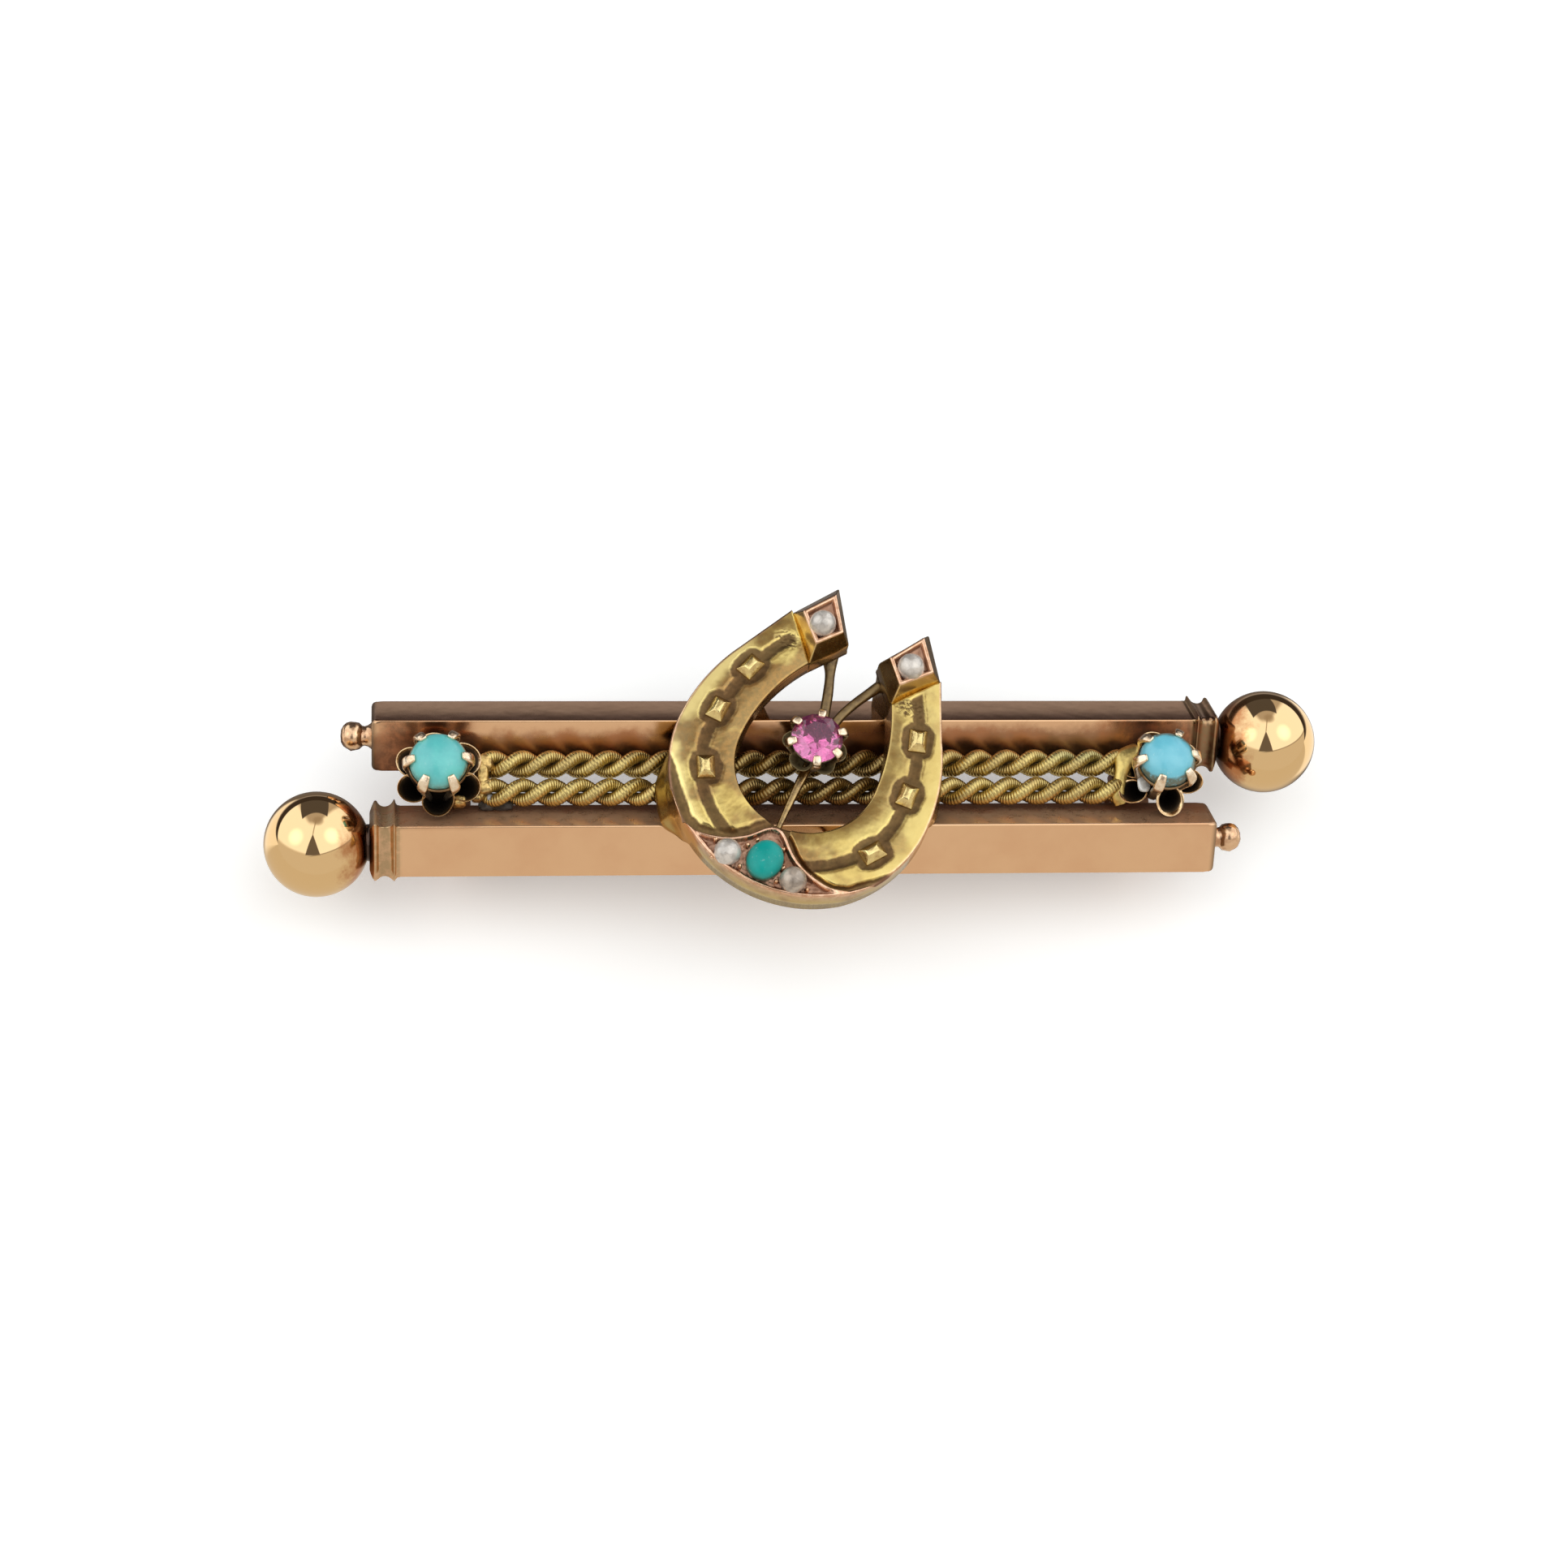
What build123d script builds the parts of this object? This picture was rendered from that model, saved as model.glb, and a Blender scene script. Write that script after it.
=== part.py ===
from build123d import *
import math
import os

# Horseshoe brooch. X runs along the two bars, Y goes up the face and Z comes out of the face.
# The brooch lies on the fitting at its back, so Z is 0 on the surface that it rests on.
# All sizes are in millimetres.

# Small gaps between separate pieces
metal_gap = 0.04
stone_gap = 0.03

# Two square bars, each set on its edge
bar_half = 1.81
bar_spacing = 5.32
lower_bar_end = 19.6
upper_bar_end = 20.15
bar_end_round = 0.22

# Square moulding and ball at one end of each bar
cap_start = 18.85
cap_length = 1.4
cap_lip = 0.3
ball_radius = 2.45
ball_centre = 22.68
ball_neck_radius = 0.95
left_ball_drop = 0.14
right_ball_drop = 0.38

# Small bead at the other end of each bar
bead_length = 1.2
bead_diameter = 1.4
bead_neck_length = 0.27
bead_neck_radius = 0.42

# Fitting at the back, which the brooch lies on
back_depth = 2.55
fitting_place = 16.35
fitting_length = 1.7
fitting_foot = 0.6
fitting_width = 3.2
pin_radius = 0.4
pin_behind = 1.55
hook_opening = 1.1

# Two ropes of two strands each
rope_offset = 0.71
rope_above_axis = 1.13
strand_radius = 0.32
strand_turn_radius = 0.345
strand_pitch = 2.698
strand_left_end = -14.82
strand_right_end = 15.12
waist_place = -12.3

# Horseshoe, with sizes from the centre of its round part
shoe_turn = 25.4
shoe_x = -0.29
shoe_y = -0.97
shoe_above_axis = 3.1
shoe_thick = 1.25
shoe_radius = 6.27
shoe_toe = 6.2
shoe_inner_radius = 3.36
shoe_inner_toe = 3.0
shoe_inner_rise = 0.35
arm_arc_height = 4.09
arm_arc_in = 0.98
heel_outer_out = 3.55
heel_outer_up = 7.5
heel_tip_out = 2.3
heel_tip_up = 9.1
heel_inner_out = 0.8
heel_inner_up = 6.75
heel_root_out = 2.15
heel_root_up = 5.0
heel_lean = 0.24
heel_step = 0.14
skirt_flare = 0.5
skirt_foot = 0.3
skirt_low_y = -4.4
skirt_high_y = 4.3

# Channel and nail heads in the face of the horseshoe
groove_width = 0.6
groove_depth = 0.24
groove_radius = 4.85
groove_toe = 4.75
groove_rise = 0.15
groove_top_out = 3.25
groove_top_up = 5.85
halo_radius = 0.88
halo_depth = 0.15
nail_across = 0.84
nail_along = 1.14
nail_height = 0.3
nail_taper = 42

# Raised heel caps, each a kite in plan
cap_rise = 0.65
kite_in_out = 1.24
kite_in_up = 6.85
kite_tip_out = 2.3
kite_tip_up = 8.52
kite_out_out = 3.38
kite_out_up = 7.05
kite_root_out = 2.18
kite_root_up = 5.78
cap_rim = 0.16
cap_recess = 0.24

# Raised clip at the toe
clip_rise = 0.42
clip_half = 4.12
clip_peak = 2.9
clip_rim = 0.17
clip_recess = 0.26
clip_step = 0.42
clip_step_depth = 0.2

# Stones
turquoise_radius = 1.325
turquoise_girdle = 0.5
turquoise_dome = 0.92
turquoise_above_axis = 2.72
ruby_radius = 1.225
ruby_crown = 0.34
ruby_table_radius = 0.72
ruby_pavilion = 0.85
ruby_above_axis = 3.6
pearl_radius = 0.64
toe_pearl_radius = 0.63
toe_pearl_out = 1.62
toe_pearl_up = -5.38
toe_turquoise_half_width = 0.88
toe_turquoise_half_height = 0.98
toe_turquoise_height = 0.86
toe_turquoise_out = 0.08
toe_turquoise_up = -5.0
heel_pearl_out = 2.3
heel_pearl_up = 6.85

# Flower settings at the two ends of the ropes
flower_place = 17.08
flower_base_above_axis = 0.5
flower_rim_above_axis = 1.75
petal_reach = 2.06
petal_radius = 0.72
petal_base_reach = 1.0
petal_base_radius = 0.36
petal_wall = 0.09
hub_radius = 0.86
claw_width = 0.36
claw_thick = 0.26
claw_over = 0.24

# Small flower under the ruby, with three wire stays
ruby_x = 0.47
ruby_y = 0.97
ruby_base_above_axis = 1.93
ruby_rim_above_axis = 2.72
ruby_petal_reach = 1.46
ruby_petal_radius = 0.52
ruby_petal_base_reach = 0.95
ruby_petal_base_radius = 0.33
ruby_hub_radius = 0.8
ruby_claw_width = 0.26
ruby_claw_thick = 0.2
ruby_claw_over = 0.17
stay_radius = 0.18

# Yellow plates that take the ends of the ropes
plate_thick = 0.9
plate_half_width = 1.2
plate_above_axis = 0.75
plate_height = 0.7

# Heights that follow from the sizes above
bar_y = bar_spacing / 2
axis_z = back_depth + metal_gap + bar_half
shoe_low_z = axis_z + shoe_above_axis
face_z = shoe_low_z + shoe_thick
cap_top_z = face_z + cap_rise
clip_top_z = face_z + clip_rise

# Share of the moulding's length, and share of its lip, at each section from the bar outwards
cap_rows = [
    {"along": 0.0, "out": 0.0},
    {"along": 0.17, "out": 1.0},
    {"along": 0.22, "out": 1.0},
    {"along": 0.36, "out": 0.1},
    {"along": 0.5, "out": -0.2},
    {"along": 0.64, "out": 0.1},
    {"along": 0.79, "out": 0.85},
    {"along": 0.84, "out": 0.85},
    {"along": 1.0, "out": -1.2},
]

# Skirt under the horseshoe: share of its depth, and share of its flare, from the top down
skirt_rows = [
    {"down": 0.0, "out": 0.0},
    {"down": 0.38, "out": 1.0},
    {"down": 1.0, "out": -1.1},
]

# Upper edge of the toe clip: share of its half width, and share of its peak's height
clip_rows = [
    {"out": 0.0, "up": 1.0},
    {"out": 0.13, "up": 0.85},
    {"out": 0.27, "up": 0.69},
    {"out": 0.44, "up": 0.55},
    {"out": 0.63, "up": 0.46},
    {"out": 0.82, "up": 0.43},
    {"out": 1.0, "up": 0.52},
]

# Nail heads: side, share of the groove's radius out and up, and their turn in degrees
nail_rows = [
    {"side": -1, "out": 0.89, "up": 0.78, "turn": 18},
    {"side": -1, "out": 1.0, "up": 0.24, "turn": 3},
    {"side": -1, "out": 0.87, "up": -0.36, "turn": -26},
    {"side": 1, "out": 0.87, "up": 0.75, "turn": 17},
    {"side": 1, "out": 0.99, "up": 0.18, "turn": 2},
    {"side": 1, "out": 0.91, "up": -0.5, "turn": -36},
]

# Directions of the six claws of each setting, in degrees from the X axis
left_claws = [4, 60, 126, 183, 240, 300]
right_claws = [5, 63, 136, 187, 250, 315]
ruby_claws = [11, 77, 138, 188, 267, 317]

# Wire stays: start beside the ruby and end under the horseshoe, as X, Y and height above the axis
stay_rows = [
    {"x0": 0.9, "y0": 1.75, "z0": 2.3, "x1": 1.42, "y1": 5.25, "z1": 2.83},
    {"x0": 1.1, "y0": 1.6, "z0": 2.3, "x1": 3.23, "y1": 4.11, "z1": 2.83},
    {"x0": 0.2, "y0": 0.2, "z0": 2.2, "x1": -1.55, "y1": -3.42, "z1": 2.2},
]

os.makedirs("parts", exist_ok=True)


def save(piece, name):
    # Names a finished solid and writes its file
    piece.label = name
    export_step(piece, "parts/" + name + ".step")


def shoe_plane(height):
    # Plane of the horseshoe at a height, with its own X across and its own Y towards the heels
    turn = math.radians(shoe_turn)
    return Plane(
        origin=(shoe_x, shoe_y, height),
        x_dir=(math.cos(turn), -math.sin(turn), 0),
        z_dir=(0, 0, 1),
    )


def diamond(half, centre_y, centre_z):
    # Square on its edge, in the YZ plane
    with Locations((centre_y, centre_z)):
        Rectangle(half * math.sqrt(2), half * math.sqrt(2), rotation=45)


def make_bar(bar_end, drop):
    # The lower bar, with its ball at the left
    centre_y = -bar_y
    ball_y = centre_y - drop
    bead_x = bar_end + bead_neck_length + bead_length / 2
    with BuildPart() as bar:
        with BuildSketch(Plane.YZ.offset(-cap_start)):
            diamond(bar_half, centre_y, axis_z)
        extrude(amount=cap_start + bar_end)
        fillet(bar.faces().sort_by(Axis.X)[-1].edges(), bar_end_round)
        # Moulding at the ball's end
        for row in cap_rows:
            with BuildSketch(Plane.YZ.offset(-cap_start - cap_length * row["along"])):
                diamond(bar_half + cap_lip * row["out"], centre_y, axis_z)
        loft(ruled=True)
        # Neck and ball
        with BuildSketch(Plane.YZ.offset(-ball_centre)):
            with Locations((ball_y, axis_z)):
                Circle(ball_neck_radius)
        extrude(amount=ball_centre - cap_start - cap_length / 2)
        with BuildSketch(Plane.XZ.offset(-ball_y)):
            with Locations((-ball_centre, axis_z)):
                Circle(ball_radius)
            with Locations((-ball_centre, axis_z - ball_radius)):
                Rectangle(4 * ball_radius, 2 * ball_radius, mode=Mode.SUBTRACT)
        revolve(axis=Axis((-ball_centre, ball_y, axis_z), (1, 0, 0)))
        # Neck and bead at the plain end
        with BuildSketch(Plane.YZ.offset(bar_end - bar_end_round)):
            with Locations((centre_y, axis_z)):
                Circle(bead_neck_radius)
        extrude(amount=bar_end_round + bead_neck_length + bead_length / 2)
        with BuildSketch(Plane.XZ.offset(-centre_y)):
            with Locations((bead_x, axis_z)):
                Ellipse(bead_length / 2, bead_diameter / 2)
            with Locations((bead_x, axis_z - bead_diameter)):
                Rectangle(2 * bead_length, 2 * bead_diameter, mode=Mode.SUBTRACT)
        revolve(axis=Axis((bead_x, centre_y, axis_z), (1, 0, 0)))
    return bar.part


def make_strand(side, second):
    # One strand of a rope, wound to the left about the X axis
    first_wide = waist_place - strand_pitch / 4
    angle = 2 * math.pi * (strand_left_end - first_wide) / strand_pitch + second * math.pi
    start = Plane(
        origin=(strand_left_end, side * rope_offset, axis_z + rope_above_axis),
        x_dir=(0, -math.cos(angle), math.sin(angle)),
        z_dir=(1, 0, 0),
    )
    with BuildPart() as strand:
        with BuildLine() as path:
            Helix(
                pitch=strand_pitch,
                height=strand_right_end - strand_left_end,
                radius=strand_turn_radius,
                lefthand=True,
            )
        with BuildSketch(Plane(origin=path.line @ 0, z_dir=path.line % 0)):
            Circle(strand_radius)
        sweep(path=path.line, is_frenet=True)
    return start.location * strand.part


def heel_point(side, out, up):
    # Point of a heel. Both heels lean to the right, and the left one stands a little higher.
    return (side * out + heel_lean, up - side * heel_step)


def shoe_face(flare):
    # Whole outline of the horseshoe. A flare widens the outer edge only.
    outer = shoe_radius + flare
    bend_out = shoe_radius - arm_arc_in + flare
    with BuildLine() as outline:
        ThreePointArc((-outer, 0), (0, -shoe_toe - flare), (outer, 0))
        for side in (-1, 1):
            bend = (side * bend_out, arm_arc_height)
            corner = heel_point(side, heel_outer_out + flare, heel_outer_up)
            tip = heel_point(side, heel_tip_out, heel_tip_up + flare)
            inside = heel_point(side, heel_inner_out, heel_inner_up)
            root = heel_point(side, heel_root_out, heel_root_up)
            waist = (side * shoe_inner_radius, shoe_inner_rise)
            TangentArc((side * outer, 0), bend, tangent=(0, 1))
            Line(bend, corner)
            Line(corner, tip)
            Line(tip, inside)
            Line(inside, root)
            TangentArc(waist, root, tangent=(0, 1))
        ThreePointArc(
            (-shoe_inner_radius, shoe_inner_rise),
            (0, -shoe_inner_toe),
            (shoe_inner_radius, shoe_inner_rise),
        )
    make_face(outline.edges())


def groove_face():
    # Band that the channel in the face is cut to
    with BuildLine() as outline:
        for edge in (-groove_width / 2, groove_width / 2):
            reach = groove_radius + edge
            top = groove_top_out + edge
            ThreePointArc((-reach, groove_rise), (0, -groove_toe - edge), (reach, groove_rise))
            for side in (-1, 1):
                TangentArc((side * reach, groove_rise), (side * top, groove_top_up), tangent=(0, 1))
        for side in (-1, 1):
            near = side * (groove_top_out - groove_width / 2)
            far = side * (groove_top_out + groove_width / 2)
            Line((near, groove_top_up), (far, groove_top_up))
    make_face(outline.edges())


def clip_face(inset):
    # Region of the toe below the clip's upper edge, drawn in by an inset
    points = []
    for row in reversed(clip_rows[1:]):
        points.append((-row["out"] * clip_half, row["up"] * clip_peak - shoe_toe - inset))
    for row in clip_rows:
        points.append((row["out"] * clip_half, row["up"] * clip_peak - shoe_toe - inset))
    middle = len(clip_rows) - 1
    with BuildLine() as region:
        Spline(*points[: middle + 1])
        Spline(*points[middle:])
        left = points[0]
        right = points[-1]
        Polyline(
            left,
            (left[0] - shoe_radius, left[1] + clip_step),
            (left[0] - shoe_radius, -2 * shoe_radius),
            (right[0] + shoe_radius, -2 * shoe_radius),
            (right[0] + shoe_radius, right[1] + clip_step),
            right,
        )
    make_face(region.edges())
    toe_low = -shoe_toe + max(inset, 0)
    with BuildLine() as limit:
        rim = shoe_radius - max(inset, 0)
        ThreePointArc((-rim, 0), (0, toe_low), (rim, 0))
        Line((rim, 0), (-rim, 0))
    make_face(limit.edges(), mode=Mode.INTERSECT)


def kite(side):
    # Top of a heel cap
    with BuildLine() as outline:
        Polyline(
            heel_point(side, kite_in_out, kite_in_up),
            heel_point(side, kite_tip_out, kite_tip_up),
            heel_point(side, kite_out_out, kite_out_up),
            heel_point(side, kite_root_out, kite_root_up),
            close=True,
        )
    make_face(outline.edges())


def heel_base(side):
    # Foot of a heel cap on the outline of the horseshoe
    share = (heel_outer_up - kite_out_up) / (heel_outer_up - arm_arc_height)
    edge_out = heel_outer_out + share * (shoe_radius - arm_arc_in - heel_outer_out)
    with BuildLine() as outline:
        Polyline(
            heel_point(side, heel_inner_out, heel_inner_up),
            heel_point(side, heel_tip_out, heel_tip_up),
            heel_point(side, edge_out, kite_out_up),
            heel_point(side, heel_root_out, heel_root_up),
            close=True,
        )
    make_face(outline.edges())


# Two bars with their mouldings, balls and beads
lower_bar = make_bar(lower_bar_end, left_ball_drop)
save(lower_bar, "lower_bar")
# The upper bar is the same bar turned end for end
upper_bar = Rot(0, 0, 180) * make_bar(upper_bar_end, -right_ball_drop)
save(upper_bar, "upper_bar")

# Four strands in two ropes
for rope_name, rope_side in (("upper", 1), ("lower", -1)):
    for strand_name, strand_turn in (("a", 0), ("b", 1)):
        strand = make_strand(rope_side, strand_turn)
        save(strand, "rope_" + rope_name + "_strand_" + strand_name)

# Horseshoe with its skirt, heel caps, nail heads and toe clip
clear_half = bar_half + metal_gap * math.sqrt(2)
skirt_mid_y = (skirt_high_y + skirt_low_y) / 2
skirt_low_z = axis_z + skirt_foot
with BuildPart() as horseshoe:
    for row in skirt_rows:
        with BuildSketch(shoe_plane(shoe_low_z - row["down"] * (shoe_low_z - skirt_low_z))):
            shoe_face(row["out"] * skirt_flare)
    loft(ruled=True)
    with Locations((0, skirt_mid_y, skirt_low_z)):
        Box(60, skirt_high_y - skirt_low_y, 20, mode=Mode.INTERSECT)
    for bar_side in (-1, 1):
        with BuildSketch(Plane.YZ.offset(-20)):
            diamond(clear_half, bar_side * bar_y, axis_z)
        extrude(amount=40, mode=Mode.SUBTRACT)
    with Locations((0, 0, axis_z)):
        Box(60, bar_spacing, 2 * clear_half, mode=Mode.SUBTRACT)
    with BuildSketch(shoe_plane(shoe_low_z)):
        shoe_face(0)
    extrude(amount=shoe_thick)
    # Channel round the face
    with BuildSketch(shoe_plane(face_z - groove_depth)):
        groove_face()
    extrude(amount=2 * groove_depth, mode=Mode.SUBTRACT)
    # Sunk ground round each nail head, and the nail heads
    for row in nail_rows:
        nail_out = row["side"] * row["out"] * groove_radius
        nail_up = row["up"] * groove_radius
        with BuildSketch(shoe_plane(face_z - halo_depth)):
            with Locations((nail_out, nail_up)):
                Circle(halo_radius)
        extrude(amount=2 * halo_depth, mode=Mode.SUBTRACT)
    for row in nail_rows:
        nail_out = row["side"] * row["out"] * groove_radius
        nail_up = row["up"] * groove_radius
        with BuildSketch(shoe_plane(face_z - 2 * groove_depth)):
            with Locations((nail_out, nail_up)):
                Rectangle(nail_across, nail_along, rotation=row["side"] * row["turn"])
        extrude(amount=2 * groove_depth)
        with BuildSketch(shoe_plane(face_z)):
            with Locations((nail_out, nail_up)):
                Rectangle(nail_across, nail_along, rotation=row["side"] * row["turn"])
        extrude(amount=nail_height, taper=nail_taper)
    # Step beside the clip, then the clip and its sunk ground
    with BuildSketch(shoe_plane(face_z - clip_step_depth)):
        clip_face(-clip_step)
    extrude(amount=2 * clip_step_depth, mode=Mode.SUBTRACT)
    with BuildSketch(shoe_plane(face_z - 2 * groove_depth)):
        clip_face(0)
    extrude(amount=clip_top_z - face_z + 2 * groove_depth)
    with BuildSketch(shoe_plane(clip_top_z - clip_recess)):
        clip_face(clip_rim)
    extrude(amount=2 * clip_recess, mode=Mode.SUBTRACT)
    # Heel caps, and the sunk ground in each
    for heel_side in (-1, 1):
        with BuildSketch(shoe_plane(shoe_low_z)):
            heel_base(heel_side)
        with BuildSketch(shoe_plane(cap_top_z)):
            kite(heel_side)
        loft(ruled=True)
        with BuildSketch(shoe_plane(cap_top_z - cap_recess)):
            kite(heel_side)
            offset(amount=-cap_rim, kind=Kind.INTERSECTION, mode=Mode.REPLACE)
        extrude(amount=2 * cap_recess, mode=Mode.SUBTRACT)
    # Seats for the stones
    heel_pearl_left = heel_point(-1, heel_pearl_out, heel_pearl_up)
    heel_pearl_right = heel_point(1, heel_pearl_out, heel_pearl_up)
    toe_pearl_left = (-toe_pearl_out, toe_pearl_up)
    toe_pearl_right = (toe_pearl_out, toe_pearl_up)
    heel_pearl_z = cap_top_z - 0.06
    toe_pearl_z = clip_top_z - 0.02
    toe_turquoise_z = clip_top_z - clip_recess - 0.12
    with Locations(shoe_plane(heel_pearl_z)):
        with Locations(heel_pearl_left, heel_pearl_right):
            Sphere(pearl_radius + stone_gap, mode=Mode.SUBTRACT)
    with Locations(shoe_plane(toe_pearl_z)):
        with Locations(toe_pearl_left, toe_pearl_right):
            Sphere(toe_pearl_radius + stone_gap, mode=Mode.SUBTRACT)
    with BuildSketch(shoe_plane(toe_turquoise_z - stone_gap)):
        with Locations((toe_turquoise_out, toe_turquoise_up)):
            Ellipse(toe_turquoise_half_width + stone_gap, toe_turquoise_half_height + stone_gap)
    extrude(amount=2, mode=Mode.SUBTRACT)
save(horseshoe.part, "horseshoe")

# Pearls
pearl_rows = [
    ("pearl_tip_left", heel_pearl_left, heel_pearl_z, pearl_radius),
    ("pearl_tip_right", heel_pearl_right, heel_pearl_z, pearl_radius),
    ("pearl_toe_left", toe_pearl_left, toe_pearl_z, toe_pearl_radius),
    ("pearl_toe_right", toe_pearl_right, toe_pearl_z, toe_pearl_radius),
]
for pearl_name, pearl_place, pearl_z, radius in pearl_rows:
    with BuildPart() as pearl:
        with Locations(shoe_plane(pearl_z)):
            with Locations(pearl_place):
                Sphere(radius)
    save(pearl.part, pearl_name)

# Oval turquoise at the toe
with BuildPart() as turquoise_toe:
    with BuildSketch(shoe_plane(toe_turquoise_z)):
        with Locations((toe_turquoise_out, toe_turquoise_up)):
            Ellipse(toe_turquoise_half_width, toe_turquoise_half_height)
    extrude(amount=toe_turquoise_height)
    fillet(turquoise_toe.faces().sort_by(Axis.Z)[-1].edges(), 0.7 * toe_turquoise_height)
save(turquoise_toe.part, "turquoise_toe")


def petals(centre_x, centre_y, claws, low_z, top_z, base_reach, base_radius, reach, radius, mode):
    # Ring of leaning cones, one between each pair of claws
    for index, start in enumerate(claws):
        end = claws[(index + 1) % len(claws)]
        span = (end - start) % 360
        angle = math.radians(start + span / 2)
        low = base_reach - base_radius
        high = reach - radius
        with BuildSketch(Plane.XY.offset(low_z)) as low_ring:
            with Locations((centre_x + low * math.cos(angle), centre_y + low * math.sin(angle))):
                Circle(base_radius)
        with BuildSketch(Plane.XY.offset(top_z)) as high_ring:
            with Locations((centre_x + high * math.cos(angle), centre_y + high * math.sin(angle))):
                Circle(radius)
        loft([low_ring.sketch.face(), high_ring.sketch.face()], ruled=True, mode=mode)


def claw_set(centre_x, centre_y, claws, foot_z, shoulder_z, inner, thick, width, over, tip_z):
    # Claws that rise past the stone's edge and lean over it
    for angle in claws:
        turn = math.radians(angle)
        claw_plane = Plane(
            origin=(centre_x, centre_y, 0),
            x_dir=(math.cos(turn), math.sin(turn), 0),
            z_dir=(math.sin(turn), -math.cos(turn), 0),
        )
        with BuildSketch(claw_plane) as profile:
            with BuildLine():
                Polyline(
                    (inner - 0.35, foot_z),
                    (inner + 0.1, foot_z),
                    (inner + thick, shoulder_z - 0.25),
                    (inner + thick - 0.04, shoulder_z + 0.1),
                    (inner - over + 0.1, tip_z + 0.16),
                    (inner - over, tip_z),
                    (inner, shoulder_z),
                    (inner, foot_z + 0.75),
                    close=True,
                )
            make_face()
        extrude(profile.sketch, amount=width / 2, both=True)


def make_flower(side, claws):
    # Six hollow petals round a hub, with a plate that takes the ends of the ropes
    centre_x = side * flower_place
    base_z = axis_z + flower_base_above_axis
    rim_z = axis_z + flower_rim_above_axis
    seat_z = axis_z + turquoise_above_axis
    girdle_z = seat_z + turquoise_girdle
    with BuildPart() as flower:
        petals(
            centre_x, 0, claws, base_z, rim_z,
            petal_base_reach, petal_base_radius, petal_reach, petal_radius, Mode.ADD,
        )
        petals(
            centre_x, 0, claws, base_z + petal_wall, rim_z,
            petal_base_reach - petal_wall, petal_base_radius - petal_wall,
            petal_reach - petal_wall, petal_radius - petal_wall, Mode.SUBTRACT,
        )
        with BuildSketch(Plane.XY.offset(base_z)):
            with Locations((centre_x, 0)):
                Circle(hub_radius)
        extrude(amount=seat_z - stone_gap - base_z)
        claw_set(
            centre_x, 0, claws, rim_z - 0.9, girdle_z,
            turquoise_radius + stone_gap, claw_thick, claw_width, claw_over, girdle_z + 0.56,
        )
        # Plate between the flower and the ropes
        rope_end = strand_left_end if side < 0 else strand_right_end
        rope_slope = math.atan(2 * math.pi * strand_turn_radius / strand_pitch)
        near = rope_end + side * (metal_gap + strand_radius * math.sin(rope_slope))
        with Locations((near + side * plate_thick / 2, 0, axis_z + plate_above_axis + plate_height / 2)):
            Box(plate_thick, 2 * plate_half_width, plate_height)
    return flower.part


flower_left = make_flower(-1, left_claws)
save(flower_left, "flower_left")
flower_right = make_flower(1, right_claws)
save(flower_right, "flower_right")

# Round turquoises in the flowers
for stone_name, stone_side in (("turquoise_left", -1), ("turquoise_right", 1)):
    stone_z = axis_z + turquoise_above_axis
    dome_radius = (turquoise_radius ** 2 + turquoise_dome ** 2) / (2 * turquoise_dome)
    stone_height = turquoise_girdle + turquoise_dome
    with BuildPart() as turquoise:
        with BuildSketch(Plane.XY.offset(stone_z)):
            with Locations((stone_side * flower_place, 0)):
                Circle(turquoise_radius)
        extrude(amount=stone_height)
        with Locations((stone_side * flower_place, 0, stone_z + stone_height - dome_radius)):
            Sphere(dome_radius, mode=Mode.INTERSECT)
    save(turquoise.part, stone_name)

# Ruby with a table and a ring of facets above and below
with BuildPart() as ruby:
    girdle_z = axis_z + ruby_above_axis
    with BuildSketch(Plane.XY.offset(girdle_z)):
        with Locations((ruby_x, ruby_y)):
            RegularPolygon(ruby_radius, 16)
    with BuildSketch(Plane.XY.offset(girdle_z + ruby_crown)):
        with Locations((ruby_x, ruby_y)):
            RegularPolygon(ruby_table_radius, 16)
    loft(ruled=True)
    with BuildSketch(Plane.XY.offset(girdle_z)):
        with Locations((ruby_x, ruby_y)):
            RegularPolygon(ruby_radius, 16)
    with BuildSketch(Plane.XY.offset(girdle_z - ruby_pavilion)):
        with Locations((ruby_x, ruby_y)):
            RegularPolygon(ruby_radius / 8, 16)
    loft(ruled=True)
save(ruby.part, "ruby")

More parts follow.
